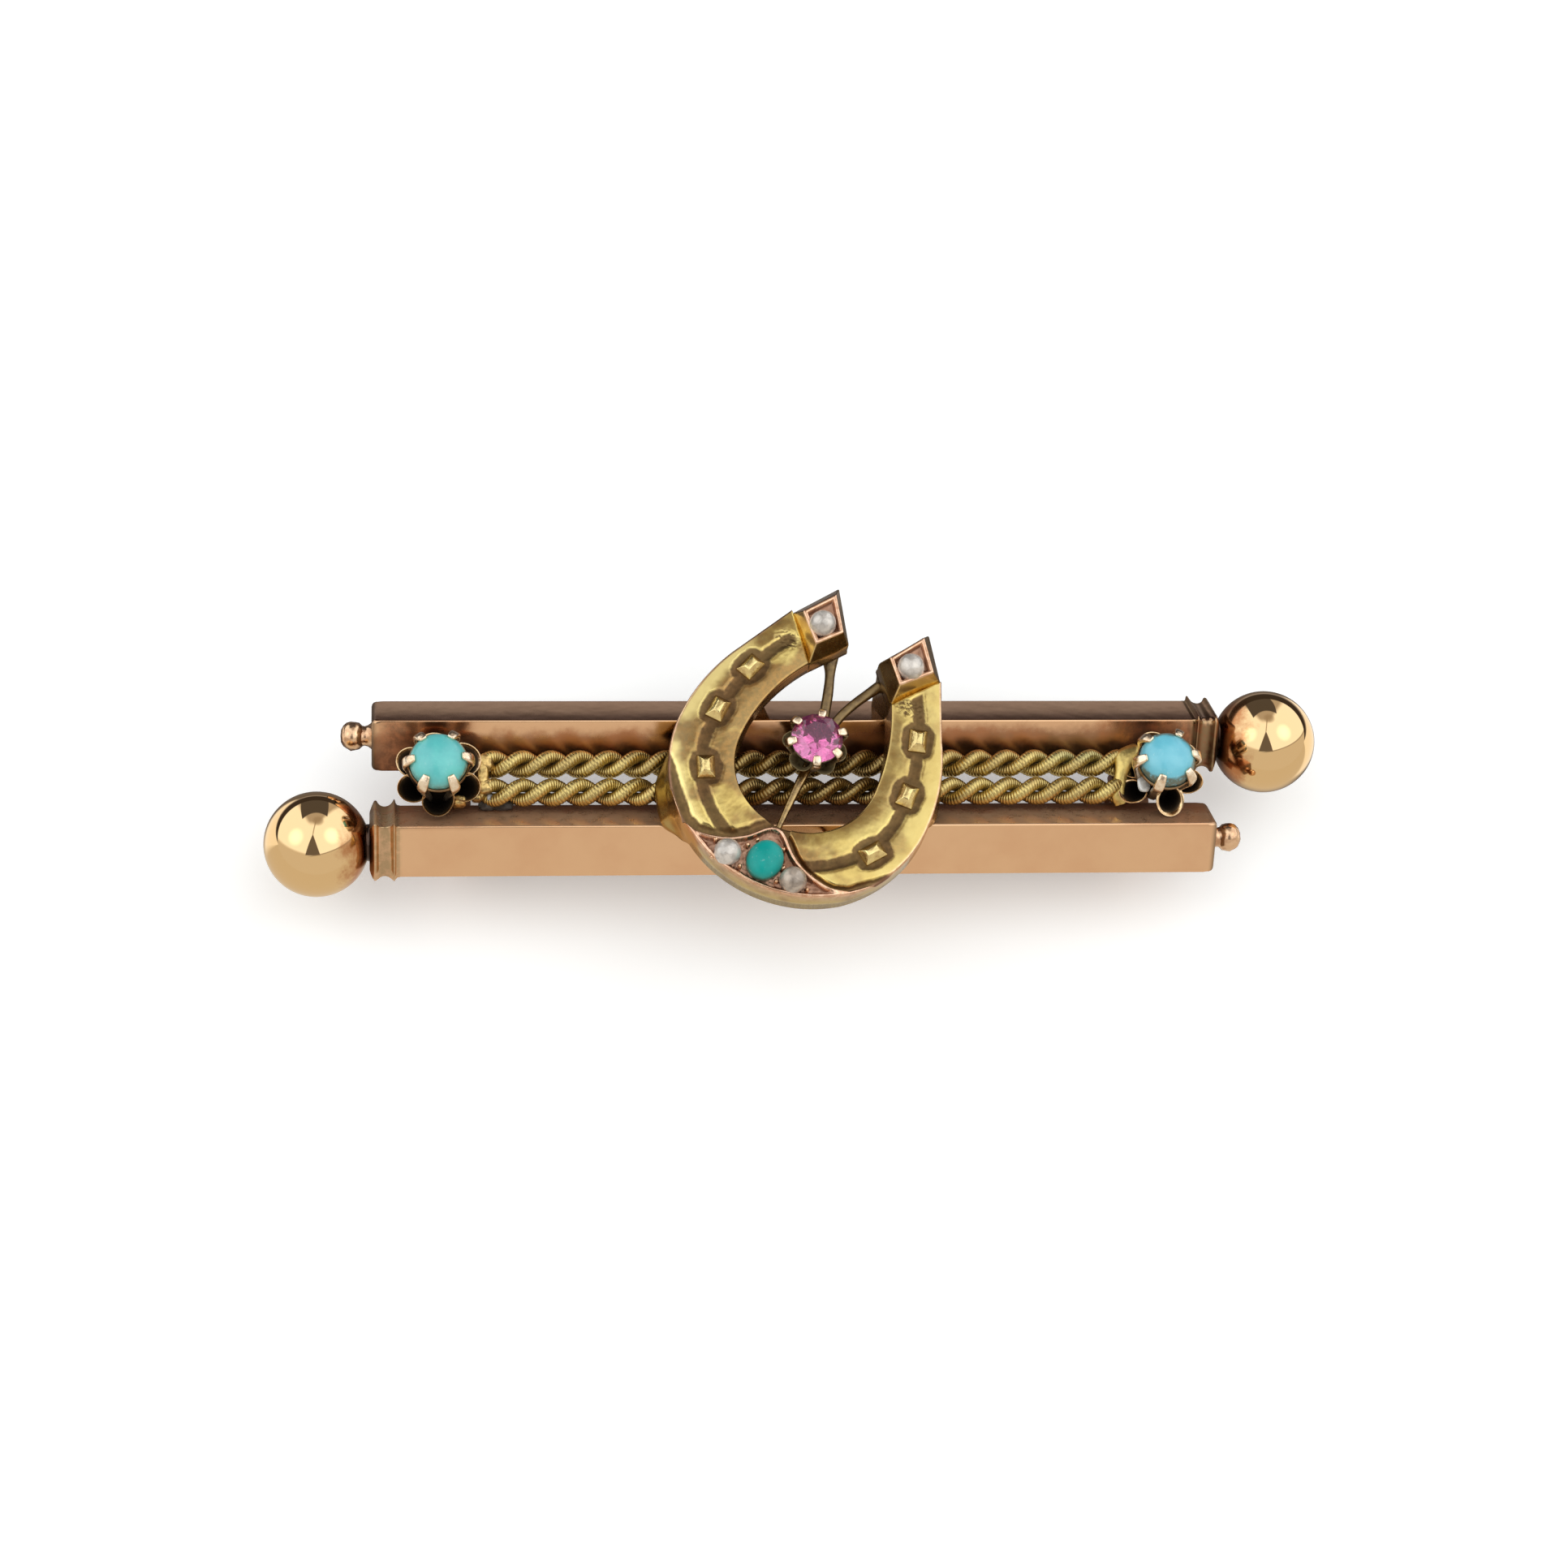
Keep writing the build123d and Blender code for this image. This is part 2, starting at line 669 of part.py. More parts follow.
# Setting of the ruby, with its stays
with BuildPart() as ruby_setting:
    base_z = axis_z + ruby_base_above_axis
    rim_z = axis_z + ruby_rim_above_axis
    girdle_z = axis_z + ruby_above_axis
    petals(
        ruby_x, ruby_y, ruby_claws, base_z, rim_z,
        ruby_petal_base_reach, ruby_petal_base_radius,
        ruby_petal_reach, ruby_petal_radius, Mode.ADD,
    )
    petals(
        ruby_x, ruby_y, ruby_claws, base_z + petal_wall, rim_z,
        ruby_petal_base_reach - petal_wall, ruby_petal_base_radius - petal_wall,
        ruby_petal_reach - petal_wall, ruby_petal_radius - petal_wall, Mode.SUBTRACT,
    )
    with BuildSketch(Plane.XY.offset(base_z)):
        with Locations((ruby_x, ruby_y)):
            Circle(ruby_hub_radius)
    extrude(amount=girdle_z - 0.45 - base_z)
    claw_set(
        ruby_x, ruby_y, ruby_claws, rim_z - 0.6, girdle_z,
        ruby_radius + stone_gap, ruby_claw_thick, ruby_claw_width, ruby_claw_over, girdle_z + 0.18,
    )
    for row in stay_rows:
        begin = Vector(row["x0"], row["y0"], axis_z + row["z0"])
        finish = Vector(row["x1"], row["y1"], axis_z + row["z1"])
        with BuildSketch(Plane(origin=begin, z_dir=finish - begin)):
            Circle(stay_radius)
        extrude(amount=(finish - begin).length)
    # Seat for the pavilion of the ruby
    seat_slope = ruby_radius / ruby_pavilion
    with BuildSketch(Plane.XY.offset(girdle_z + stone_gap)):
        with Locations((ruby_x, ruby_y)):
            Circle(ruby_radius + stone_gap)
    with BuildSketch(Plane.XY.offset(girdle_z - ruby_pavilion - stone_gap)):
        with Locations((ruby_x, ruby_y)):
            Circle(ruby_radius / 8 + 2 * stone_gap)
    loft(ruled=True, mode=Mode.SUBTRACT)
save(ruby_setting.part, "ruby_setting")

# Plain hidden fitting at the back: hinge, pin and hook in one piece
with BuildPart() as pin_clasp:
    for foot_side in (-1, 1):
        with Locations((foot_side * fitting_place, 0, back_depth - fitting_foot / 2)):
            Box(fitting_length, bar_spacing + 0.8, fitting_foot)
    with Locations((-fitting_place, 0, (back_depth - fitting_foot) / 2)):
        Box(fitting_length, fitting_width, back_depth - fitting_foot)
    with Locations((fitting_place, 0, (back_depth - fitting_foot) / 2)):
        Box(fitting_length, fitting_width, back_depth - fitting_foot)
    with Locations((fitting_place, fitting_width / 2, back_depth - pin_behind)):
        Box(2 * fitting_length, fitting_width - 0.4, hook_opening, mode=Mode.SUBTRACT)
    with BuildSketch(Plane.YZ.offset(-fitting_place)):
        with Locations((0, back_depth - pin_behind)):
            Circle(pin_radius)
    extrude(amount=2 * fitting_place + fitting_length / 2)
save(pin_clasp.part, "pin_clasp")
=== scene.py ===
import math
from functools import reduce

import bmesh
import bpy
import numpy as np
from mathutils import Matrix, Vector, noise


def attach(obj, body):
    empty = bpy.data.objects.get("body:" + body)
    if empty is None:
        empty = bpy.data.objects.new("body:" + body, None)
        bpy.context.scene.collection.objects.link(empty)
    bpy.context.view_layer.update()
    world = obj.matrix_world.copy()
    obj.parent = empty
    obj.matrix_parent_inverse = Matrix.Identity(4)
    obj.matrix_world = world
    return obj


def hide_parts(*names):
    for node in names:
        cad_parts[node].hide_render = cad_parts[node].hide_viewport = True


# The brooch lies on its back. Sizes here are in millimetres and meshes are scaled to metres.
MM = 0.001
TAU = 2 * math.pi
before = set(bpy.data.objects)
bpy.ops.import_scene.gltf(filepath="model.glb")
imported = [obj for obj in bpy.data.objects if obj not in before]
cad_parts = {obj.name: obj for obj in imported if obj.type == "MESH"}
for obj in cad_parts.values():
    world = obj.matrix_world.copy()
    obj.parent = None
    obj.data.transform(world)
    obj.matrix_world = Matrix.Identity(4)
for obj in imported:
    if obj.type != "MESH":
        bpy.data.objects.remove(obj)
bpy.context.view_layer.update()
scene = bpy.context.scene

# Camera: from a little left of and well below the face's normal, as in the photo
CAMERA_LEFT = math.radians(7.0)
CAMERA_LOW = math.radians(22.2)
CAMERA_ROLL = math.radians(-0.18)
CAMERA_FAR = 165.38
CAMERA_AIM = (0.0, 0.0, 4.4)
CAMERA_SHIFT = (-0.746, 0.135)
SENSOR = 36.0
IMAGE_WIDTH = 1932 / 26.0


def camera_axes():
    """Directions to the right, up and back, as the camera sees them."""
    level = math.cos(CAMERA_LOW)
    back = Vector((-math.sin(CAMERA_LEFT) * level, -math.sin(CAMERA_LOW), math.cos(CAMERA_LEFT) * level))
    up = Vector((0, back.z, -back.y)).normalized()
    across = up.cross(back)
    c = math.cos(CAMERA_ROLL)
    s = math.sin(CAMERA_ROLL)
    return across * c + up * s, up * c - across * s, back


def make_camera():
    across, up, back = camera_axes()
    place = Vector(CAMERA_AIM)
    place += across * CAMERA_SHIFT[0] + up * CAMERA_SHIFT[1] + back * CAMERA_FAR
    data = bpy.data.cameras.new("camera")
    data.sensor_width = SENSOR
    data.lens = SENSOR * CAMERA_FAR / IMAGE_WIDTH
    data.clip_start = 0.005
    data.clip_end = 20.0
    camera = bpy.data.objects.new("camera", data)
    scene.collection.objects.link(camera)
    matrix = Matrix((across, up, back)).transposed().to_4x4()
    matrix.translation = place * MM
    camera.matrix_world = matrix
    scene.camera = camera


class Nodes:
    """Short calls for building the node tree of a material or of the world."""

    def __init__(self, owner):
        owner.use_nodes = True
        self.owner = owner
        self.tree = owner.node_tree
        self.tree.nodes.clear()

    def put(self, socket, value):
        """Links or sets a socket. None leaves it as it is."""
        if isinstance(value, bpy.types.NodeSocket):
            self.tree.links.new(value, socket)
        elif value is not None:
            socket.default_value = (*value, 1.0) if socket.type == "RGBA" else value

    def new(self, kind, inputs=None, **values):
        """A node with its own settings and its inputs."""
        node = self.tree.nodes.new(kind)
        for name, value in values.items():
            setattr(node, name, value)
        for key, value in (inputs or {}).items():
            self.put(node.inputs[key], value)
        return node

    def math(self, operation, a, b=None):
        return self.new("ShaderNodeMath", {0: a, 1: b}, operation=operation).outputs[0]

    def add(self, *values):
        return reduce(lambda a, b: self.math("ADD", a, b), values)

    def times(self, *values):
        return reduce(lambda a, b: self.math("MULTIPLY", a, b), values)

    def rest(self, value):
        """What is left of 1."""
        return self.math("SUBTRACT", 1.0, value)

    def size(self, value):
        return self.math("ABSOLUTE", value)

    def sway(self, value, wave, reach):
        """A value moved up and down by noise."""
        return self.add(value, self.times(self.math("SUBTRACT", wave, 0.5), reach))

    def dot(self, vector, normal):
        node = self.new("ShaderNodeVectorMath", {0: vector, 1: normal}, operation="DOT_PRODUCT")
        return node.outputs["Value"]

    def step(self, value, low, high, to_low=0.0, to_high=1.0):
        inputs = dict(enumerate((value, low, high, to_low, to_high)))
        return self.new("ShaderNodeMapRange", inputs, interpolation_type="SMOOTHSTEP").outputs[0]

    def mix(self, share, a, b):
        return self.new("ShaderNodeMix", {0: share, 6: a, 7: b}, data_type="RGBA").outputs[2]

    def tint(self, color, other, *shares):
        """Another colour laid over a colour, by the product of the shares."""
        return self.mix(self.times(*shares), color, other)

    def two_tone(self, wave, low, high, pair):
        """Two colours that change over where the noise passes from low to high."""
        return self.mix(self.step(wave, low, high), *pair)

    def noise(self, place, scale, detail=4.0, rough=0.55, distort=0.0):
        node = self.new("ShaderNodeTexNoise", {
            "Vector": place, "Scale": scale, "Detail": detail, "Roughness": rough, "Distortion": distort,
        })
        return node.outputs["Fac"]

    def place_mm(self):
        """Object coordinates in millimetres."""
        place = self.new("ShaderNodeTexCoord").outputs["Object"]
        return self.new("ShaderNodeVectorMath", {0: place, "Scale": 1 / MM}, operation="SCALE").outputs[0]

    def apart(self, vector):
        return self.new("ShaderNodeSeparateXYZ", {0: vector}).outputs

    def mark(self, name):
        """A mark that build() has left on the points."""
        return self.new("ShaderNodeAttribute", attribute_name=name).outputs["Fac"]

    def bump(self, height, strength, distance):
        inputs = {"Strength": strength, "Distance": distance, "Height": height}
        return self.new("ShaderNodeBump", inputs).outputs[0]

    def finish(self, shader):
        """Ends a material with its shader, and returns the material."""
        self.new("ShaderNodeOutputMaterial", {"Surface": shader.outputs[0]})
        return self.owner

    def surface(self, inputs):
        return self.finish(self.new("ShaderNodeBsdfPrincipled", inputs))

    def gold(self, color, rough, normal=None, metal=1.0):
        return self.surface({"Base Color": color, "Metallic": metal, "Roughness": rough, "Normal": normal})


def start_material(name):
    n = Nodes(bpy.data.materials.new(name))
    return n, n.place_mm()


# Studio: two pale panels that meet above the brooch, a dark gap between them at the camera's side
WHITE = (1.0, 1.0, 1.0)
PANEL = (1.28, 1.32, 1.34)
PANEL_GLOW = (2.6, 2.6, 2.5)
PAPER = (0.74, 0.69, 0.62)
STRIP = (0.52, 0.47, 0.43)
SEAM = (0.42, 0.36, 0.30)
BLOT = (0.40, 0.34, 0.28)
GAP = (0.17, 0.15, 0.14)
EDGE_LINE = (0.30, 0.26, 0.22)
FAR_DARK = (0.10, 0.09, 0.09)
LEFT_PANEL = (0.13, 0.69, 0.71)
RIGHT_PANEL = (-0.192, 0.691, 0.697)
GAP_TOP = (-0.03, 0.70, 0.71)
PANEL_MIDDLES = [((-0.70, 0.0, 0.71), 0.5), ((0.55, 0.0, 0.83), 0.55)]


def plane_normal(a, b):
    """Unit normal of the plane through the origin and two directions given by X and Y."""
    ends = [Vector((x, y, math.sqrt(max(0.0, 1 - x * x - y * y)))) for x, y in (a, b)]
    return tuple(ends[0].cross(ends[1]).normalized())


def make_world():
    world = bpy.data.worlds.new("studio")
    scene.world = world
    n = Nodes(world)
    way = n.new("ShaderNodeTexCoord").outputs["Generated"]
    x, y, z = n.apart(way)

    def across(a, b, low, high):
        return n.step(n.dot(way, plane_normal(a, b)), low, high)

    # The panels stand above lines 45 degrees up at the near side, and their middles are brighter
    left_low = n.step(n.dot(way, LEFT_PANEL), -0.06, 0.05)
    right_low = n.step(n.dot(way, RIGHT_PANEL), -0.008, 0.012)
    low = n.mix(n.step(x, -0.3, 0.0), left_low, right_low)
    color = n.mix(low, PAPER, PANEL)
    for spot, gain in PANEL_MIDDLES:
        color = n.tint(color, PANEL_GLOW, n.step(n.dot(way, spot), 0.93, 1.0, 0.0, gain), low)
    # Dull strip between the panels above the brooch
    left_edge = across((-0.13, 0.02), (-0.42, 0.70), 0.02, -0.14)
    right_edge = across((0.36, 0.66), (0.02, 0.20), 0.0, -0.14)
    color = n.tint(color, STRIP, left_edge, right_edge, n.step(y, 0.30, 0.55))
    # Narrow dark seam that runs from the gap to the far side
    seam = n.size(n.dot(way, plane_normal((-0.12, 0.0), (0.0, 0.55))))
    ends = n.times(n.step(y, -0.05, 0.05), n.step(y, 0.62, 0.5))
    color = n.tint(color, SEAM, n.step(seam, 0.03, 0.012), ends, 0.8)
    blot = n.step(n.dot(way, Vector((0.06, 0.52, 0.85)).normalized()), 0.972, 0.997)
    color = n.tint(color, BLOT, blot, 0.75)
    # Dark gap that opens towards the camera
    gap_left = across((-0.12, 0.02), (-0.39, -0.66), -0.012, 0.012)
    gap_right = across((-0.12, 0.02), (0.13, -0.66), 0.012, -0.012)
    color = n.tint(color, GAP, gap_left, gap_right, n.step(n.dot(way, GAP_TOP), -0.012, 0.008))
    # Thin dark line at the lower edge of the right panel
    line = n.step(n.size(n.dot(way, RIGHT_PANEL)), 0.03, 0.012)
    color = n.tint(color, EDGE_LINE, line, n.step(x, -0.35, -0.1), 0.7)
    # Dark far side behind the panels
    far_left = across((-0.44, 0.70), (-0.36, 0.93), 0.012, -0.012)
    far_right = across((0.28, 0.95), (0.34, 0.70), 0.012, -0.012)
    color = n.tint(color, FAR_DARK, far_left, far_right, n.step(n.add(y, n.times(x, x)), 0.76, 0.80))
    # Below the horizon only the floor is seen, apart from a rim far away
    below = n.step(z, 0.02, -0.02)
    color = n.tint(color, FAR_DARK, below, n.step(y, 0.0, 0.2))
    color = n.tint(color, PAPER, below, n.step(y, 0.0, -0.2))
    # The camera itself sees a plain pale backdrop
    color = n.mix(n.new("ShaderNodeLightPath").outputs["Is Camera Ray"], color, WHITE)
    background = n.new("ShaderNodeBackground", {"Color": color})
    n.new("ShaderNodeOutputWorld", {"Surface": background.outputs[0]})


# Paper as the metal mirrors it
PAPER_SIDES = ((0.72, 0.66, 0.57), (0.16, 0.14, 0.13))
PANEL_FOOT = (1.15, 1.12, 1.05)
FAR_GREY = (0.32, 0.30, 0.31)
FAR_BLACK = (0.05, 0.04, 0.035)
FLOOR = (0.95, 0.95, 0.95)
FLOOR_HALF = 0.4


def make_floor():
    mesh = bpy.data.meshes.new("floor")
    corners = [(a * FLOOR_HALF, b * FLOOR_HALF, 0) for a, b in ((-1, -1), (1, -1), (1, 1), (-1, 1))]
    mesh.from_pydata(corners, [], [(0, 1, 2, 3)])
    floor = bpy.data.objects.new("floor", mesh)
    scene.collection.objects.link(floor)
    n, place = start_material("floor_paper")
    x, y = n.apart(place)[:2]
    path = n.new("ShaderNodeLightPath").outputs
    # Mirrored, the paper is pale at the near side and dark at the far side, with the panels' feet
    seen = n.two_tone(y, -2.5, 2.0, PAPER_SIDES)
    seen = n.tint(seen, PANEL_FOOT, n.step(n.size(x), 27.0, 29.5), n.step(y, -3.0, -1.0))
    seen = n.tint(seen, FAR_GREY, n.step(y, 11.5, 14.0))
    seen = n.tint(seen, FAR_BLACK, n.step(y, 15.0, 17.6))
    mirror = n.new("ShaderNodeEmission", {"Color": seen})
    paper = n.new("ShaderNodeBsdfDiffuse", {"Color": FLOOR})
    glow = n.new("ShaderNodeEmission", {"Color": WHITE, "Strength": n.times(path["Is Camera Ray"], 0.20)})
    plain = n.new("ShaderNodeAddShader", {0: paper.outputs[0], 1: glow.outputs[0]})
    blend = {0: path["Is Glossy Ray"], 1: plain.outputs[0], 2: mirror.outputs[0]}
    mesh.materials.append(n.finish(n.new("ShaderNodeMixShader", blend)))


def wear_normal(n, place, strength):
    """Slight waves and fine scratches of old polished metal."""
    waves = n.noise(place, 0.55, 2.0)
    fine = n.noise(place, 26.0, 3.0, 0.7)
    return n.bump(n.add(n.times(waves, 0.9), n.times(fine, 0.05)), strength, 0.00012)


# Colours of the bars. A pair holds the two tones of a mottled colour.
ROSE = ((0.86, 0.545, 0.315), (0.82, 0.50, 0.285))
LACQUER_AND_SHADE = ((0.22, 0.11, 0.075), (0.26, 0.105, 0.055))
RUST_AND_SHADE = ((0.42, 0.15, 0.06), (0.30, 0.14, 0.075))
STAIN = ((0.50, 0.22, 0.11), (0.26, 0.125, 0.07))
GRIME_AND_SHADE = (0.12, 0.07, 0.045)
SHADED_ROSE = (0.20, 0.09, 0.05)
GREEN_BROWN = (0.45, 0.34, 0.17)
RIDGE_SHADE = (0.33, 0.155, 0.085)
DIRT = (0.10, 0.085, 0.06)
BALL_GOLD = (0.86, 0.60, 0.31)
BALL_TARNISH = (0.50, 0.19, 0.07)
NECK_DARK = (0.07, 0.045, 0.035)
BEAD_GOLD = ((0.86, 0.58, 0.36), (0.55, 0.30, 0.17))


def make_rose():
    """Rose gold of the bars: brown-red tarnish along the ropes and by the flowers."""
    n, place = start_material("rose_gold_bars")
    x, y = n.apart(place)[:2]
    far_x = n.size(x)
    far_y = n.size(y)
    mottle = n.noise(place, 0.35, 4.0, 0.6)
    fine = n.noise(place, 2.4, 5.0, 0.65)
    color = n.two_tone(mottle, 0.35, 0.7, ROSE)
    # Old lacquer and painted shade darken the faces that look towards the far side
    upper_face = n.times(n.step(y, -2.68, -2.60), n.step(y, 0.5, 0.0))
    film_and_shade = n.times(upper_face, n.step(fine, 0.15, 0.55, 0.10, 0.35))
    color = n.tint(color, n.two_tone(mottle, 0.4, 0.6, LACQUER_AND_SHADE), film_and_shade)
    # Red-brown tarnish, with painted shade of the ropes, gathers along the ropes and is darkest close to
    # them
    edge = n.sway(n.sway(far_y, mottle, 1.5), fine, 0.35)
    edge = n.add(edge, n.times(upper_face, 0.75), n.times(n.step(x, 4.0, 9.0), n.step(y, 0.0, 0.5), -0.22))
    rust_and_shade = n.step(edge, 2.50, 1.95)
    color = n.tint(color, n.two_tone(mottle, 0.42, 0.6, RUST_AND_SHADE), rust_and_shade, 0.80)
    color = n.tint(color, GRIME_AND_SHADE, n.step(edge, 1.85, 1.30), 0.80)
    # Stains round the flowers, and painted shade inside the horseshoe
    flower = n.sway(n.size(n.add(far_x, -17.6)), mottle, 3.0)
    around = n.times(n.step(flower, 2.9, 1.6), n.step(far_y, 2.85, 2.5), n.rest(n.times(upper_face, 0.6)))
    color = n.tint(color, n.two_tone(fine, 0.35, 0.65, STAIN), around, 0.85)
    inside = n.times(n.step(n.size(n.add(x, 0.3)), 7.2, 5.6), n.step(far_y, 2.7, 2.4))
    color = n.tint(color, SHADED_ROSE, inside, 0.6)
    # Greenish brown in the hollows of the mouldings and on the plain ends
    hollows = n.times(n.step(far_x, 18.7, 19.0), n.step(n.times(x, y), -5.0, 5.0))
    color = n.tint(color, GREEN_BROWN, hollows, n.step(fine, 0.35, 0.6), 0.55)
    # Painted shade: the far face of the upper bar is darker and browner along its ridge
    color = n.tint(color, RIDGE_SHADE, n.step(y, 3.6, 2.8), n.step(y, 2.66, 2.70), 0.8)
    dirt = n.mark("dark")
    color = n.tint(color, DIRT, dirt)
    rough = n.add(
        0.07,
        n.times(n.step(fine, 0.35, 0.8), 0.08),
        n.times(n.math("MAXIMUM", rust_and_shade, film_and_shade), 0.22),
        n.times(around, 0.12),
        n.times(dirt, 0.2),
    )
    return n.gold(color, rough, wear_normal(n, place, 0.10), n.rest(n.times(film_and_shade, 1.3)))


def make_ball_gold():
    """Yellower gold of the balls: red tarnish towards the moulding."""
    n, place = start_material("ball_gold")
    far_x = n.size(n.apart(place)[0])
    tarnish = n.step(n.sway(far_x, n.noise(place, 1.1, 5.0, 0.65), 2.2), 21.75, 20.75)
    color = n.tint(BALL_GOLD, BALL_TARNISH, tarnish, 0.92)
    color = n.tint(color, NECK_DARK, n.step(far_x, 20.75, 20.3))
    return n.gold(color, n.add(0.035, n.times(tarnish, 0.12)))


def make_bead_gold():
    n, place = start_material("bead_gold")
    color = n.two_tone(n.noise(place, 1.6, 4.0, 0.6), 0.35, 0.7, BEAD_GOLD)
    return n.gold(color, 0.16, wear_normal(n, place, 0.5))


WIRE = ((0.66, 0.51, 0.19), (0.47, 0.34, 0.13))
RUSTY_WIRE = (0.45, 0.25, 0.10)
GREEN_WIRE = (0.40, 0.42, 0.20)
WIRE_GROOVE = (0.18, 0.125, 0.05)
WIRE_SHADED_INSIDE = (0.20, 0.125, 0.05)
WIRE_SHADED_LOW = (0.13, 0.085, 0.04)


def make_rope_gold():
    """Wound wire: bright on the ridges, dark in the grooves, greenish in places."""
    n, place = start_material("rope_gold")
    x, y, z = n.apart(place)
    groove = n.mark("dark")
    color = n.two_tone(n.noise(place, 0.5, 4.0, 0.6), 0.35, 0.68, WIRE)
    color = n.tint(color, RUSTY_WIRE, n.step(n.noise(place, 0.9, 5.0, 0.6), 0.56, 0.72), 0.4)
    color = n.tint(color, GREEN_WIRE, n.step(n.size(n.add(x, -13.0)), 2.2, 0.8), n.step(y, 0.3, 0.9), 0.5)
    # Painted shade and dirt in the grooves of the wire
    color = n.tint(color, WIRE_GROOVE, groove, 0.7)
    # Painted shade: duller inside the horseshoe and low down between the strands
    color = n.tint(color, WIRE_SHADED_INSIDE, n.step(n.size(n.add(x, 0.2)), 6.6, 5.2), 0.7)
    color = n.tint(color, WIRE_SHADED_LOW, n.step(z, 5.45, 5.0), 0.6)
    rough = n.add(0.27, n.times(groove, 0.3))
    return n.gold(color, rough, n.bump(n.noise(place, 18.0, 3.0), 0.15, 0.00004))


YELLOW = ((0.80, 0.62, 0.22), (0.70, 0.51, 0.165))
LIT_YELLOW = (1.0, 0.82, 0.34)
DULL_YELLOW = (0.42, 0.30, 0.12)
WARM_STAIN_AND_SHADE = ((0.36, 0.19, 0.07), (0.24, 0.145, 0.065))
OXIDE = ((0.155, 0.084, 0.036), (0.09, 0.050, 0.024))
PINK = ((0.90, 0.58, 0.42), (0.66, 0.36, 0.24))
PINK_GRIME_AND_SHADE = (0.27, 0.135, 0.085)
SHADED_WALL = ((0.26, 0.15, 0.07), (0.40, 0.27, 0.09))


def make_shoe_gold():
    """Greenish yellow gold of the horseshoe, with its oxidised channel."""
    n, place = start_material("shoe_gold")
    x, y = n.apart(place)[:2]
    dark = n.mark("dark")
    pink = n.mark("pink")
    side = n.mark("side")
    inner = n.mark("inner")
    mottle = n.noise(place, 0.45, 5.0, 0.62)
    fine = n.noise(place, 3.2, 6.0, 0.68)
    color = n.two_tone(mottle, 0.38, 0.62, YELLOW)
    # Painted highlight: the outer half of the left arm is lighter and less metallic, as where it slopes
    # towards the light; the right arm duller
    paler = n.times(n.step(inner, 0.36, 0.16), n.step(x, -1.5, -3.2), n.step(side, 0.3, 0.0))
    paler = n.times(paler, n.rest(dark), n.rest(pink))
    color = n.tint(color, LIT_YELLOW, paler, 0.95)
    color = n.tint(color, DULL_YELLOW, n.step(x, 1.5, 4.0), 0.25)
    # Warm brown stains, mostly between the nails and the inner edge; stronger on the inner band of the left
    # arm, where they also stand for painted shade
    left_inner_shade = n.times(n.step(y, -2.4, -0.9), n.step(x, 2.0, 0.5))
    gather = n.times(inner, n.add(0.22, n.times(left_inner_shade, 0.20)))
    warm = n.step(n.add(n.noise(place, 0.55, 3.0, 0.5), gather), 0.52, 0.72)
    warm_color = n.two_tone(fine, 0.35, 0.65, WARM_STAIN_AND_SHADE)
    color = n.tint(color, warm_color, warm, n.step(x, 3.5, -1.0, 0.50, 0.85))
    # Oxidised ground keeps worn specks of gold
    shade = n.step(n.sway(dark, fine, 0.35), 0.14, 0.78)
    color = n.tint(color, n.two_tone(fine, 0.3, 0.7, OXIDE), shade, 0.93)
    # Pink gold of the rim, of the clip and of the bezels, grimy and painted with shade in its hollows; the
    # pink line along the outer rim is partly a painted highlight
    polished = n.tint(n.two_tone(fine, 0.35, 0.65, PINK), PINK_GRIME_AND_SHADE, dark, 0.92)
    color = n.tint(color, polished, pink, 0.88)
    # Painted shade: the walls and the skirt are a darker brown gold
    color = n.tint(color, n.two_tone(mottle, 0.3, 0.7, SHADED_WALL), side, 0.9)
    rough = n.add(0.14, n.times(n.step(fine, 0.35, 0.75), 0.10), n.times(shade, 0.24), n.times(side, 0.10))
    grain = n.times(fine, n.add(0.03, n.times(dark, 0.5)))
    normal = n.bump(n.add(n.noise(place, 0.5, 2.0), grain), 0.22, 0.00010)
    return n.gold(color, rough, normal, n.rest(n.times(paler, 0.5)))


SOOT = (0.05, 0.038, 0.028)
STONE_FLECK = (0.85, 0.95, 0.92)
STONE_DIRT = (0.095, 0.085, 0.03)
RUBY_TONES = ((0.87, 0.24, 0.54), (0.78, 0.14, 0.42))


def make_bright_gold(name, pair, gloss=0.12, grain=0.25, metal=1.0):
    """Small polished parts, such as nail heads and claws. The second of the pair is worn."""
    n, place = start_material(name)
    fine = n.noise(place, 3.0, 5.0, 0.65)
    dark = n.mark("dark")
    color = n.tint(n.two_tone(fine, 0.40, 0.72, pair), SOOT, dark)
    rough = n.add(gloss, n.times(fine, 0.10), n.times(dark, 0.35))
    return n.gold(color, rough, n.bump(n.noise(place, 5.0, 4.0), grain, 0.00005), metal)


def make_turquoise(name, pair, shine=0.5, coat=0.25):
    n, place = start_material(name)
    fine = n.noise(place, 5.0, 4.0, 0.6)
    color = n.two_tone(n.noise(place, 0.75, 4.0, 0.6), 0.35, 0.68, pair)
    color = n.tint(color, STONE_FLECK, n.step(fine, 0.6, 0.8), 0.25)
    # Brownish rim where the stone meets its claws
    color = n.tint(color, STONE_DIRT, n.mark("dark"), n.step(fine, 0.2, 0.5), 0.9)
    return n.surface({
        "Base Color": color, "Roughness": 0.28, "IOR": 1.61, "Specular IOR Level": shine,
        "Coat Weight": coat, "Coat Roughness": 0.12, "Normal": n.bump(fine, 0.12, 0.00005),
    })


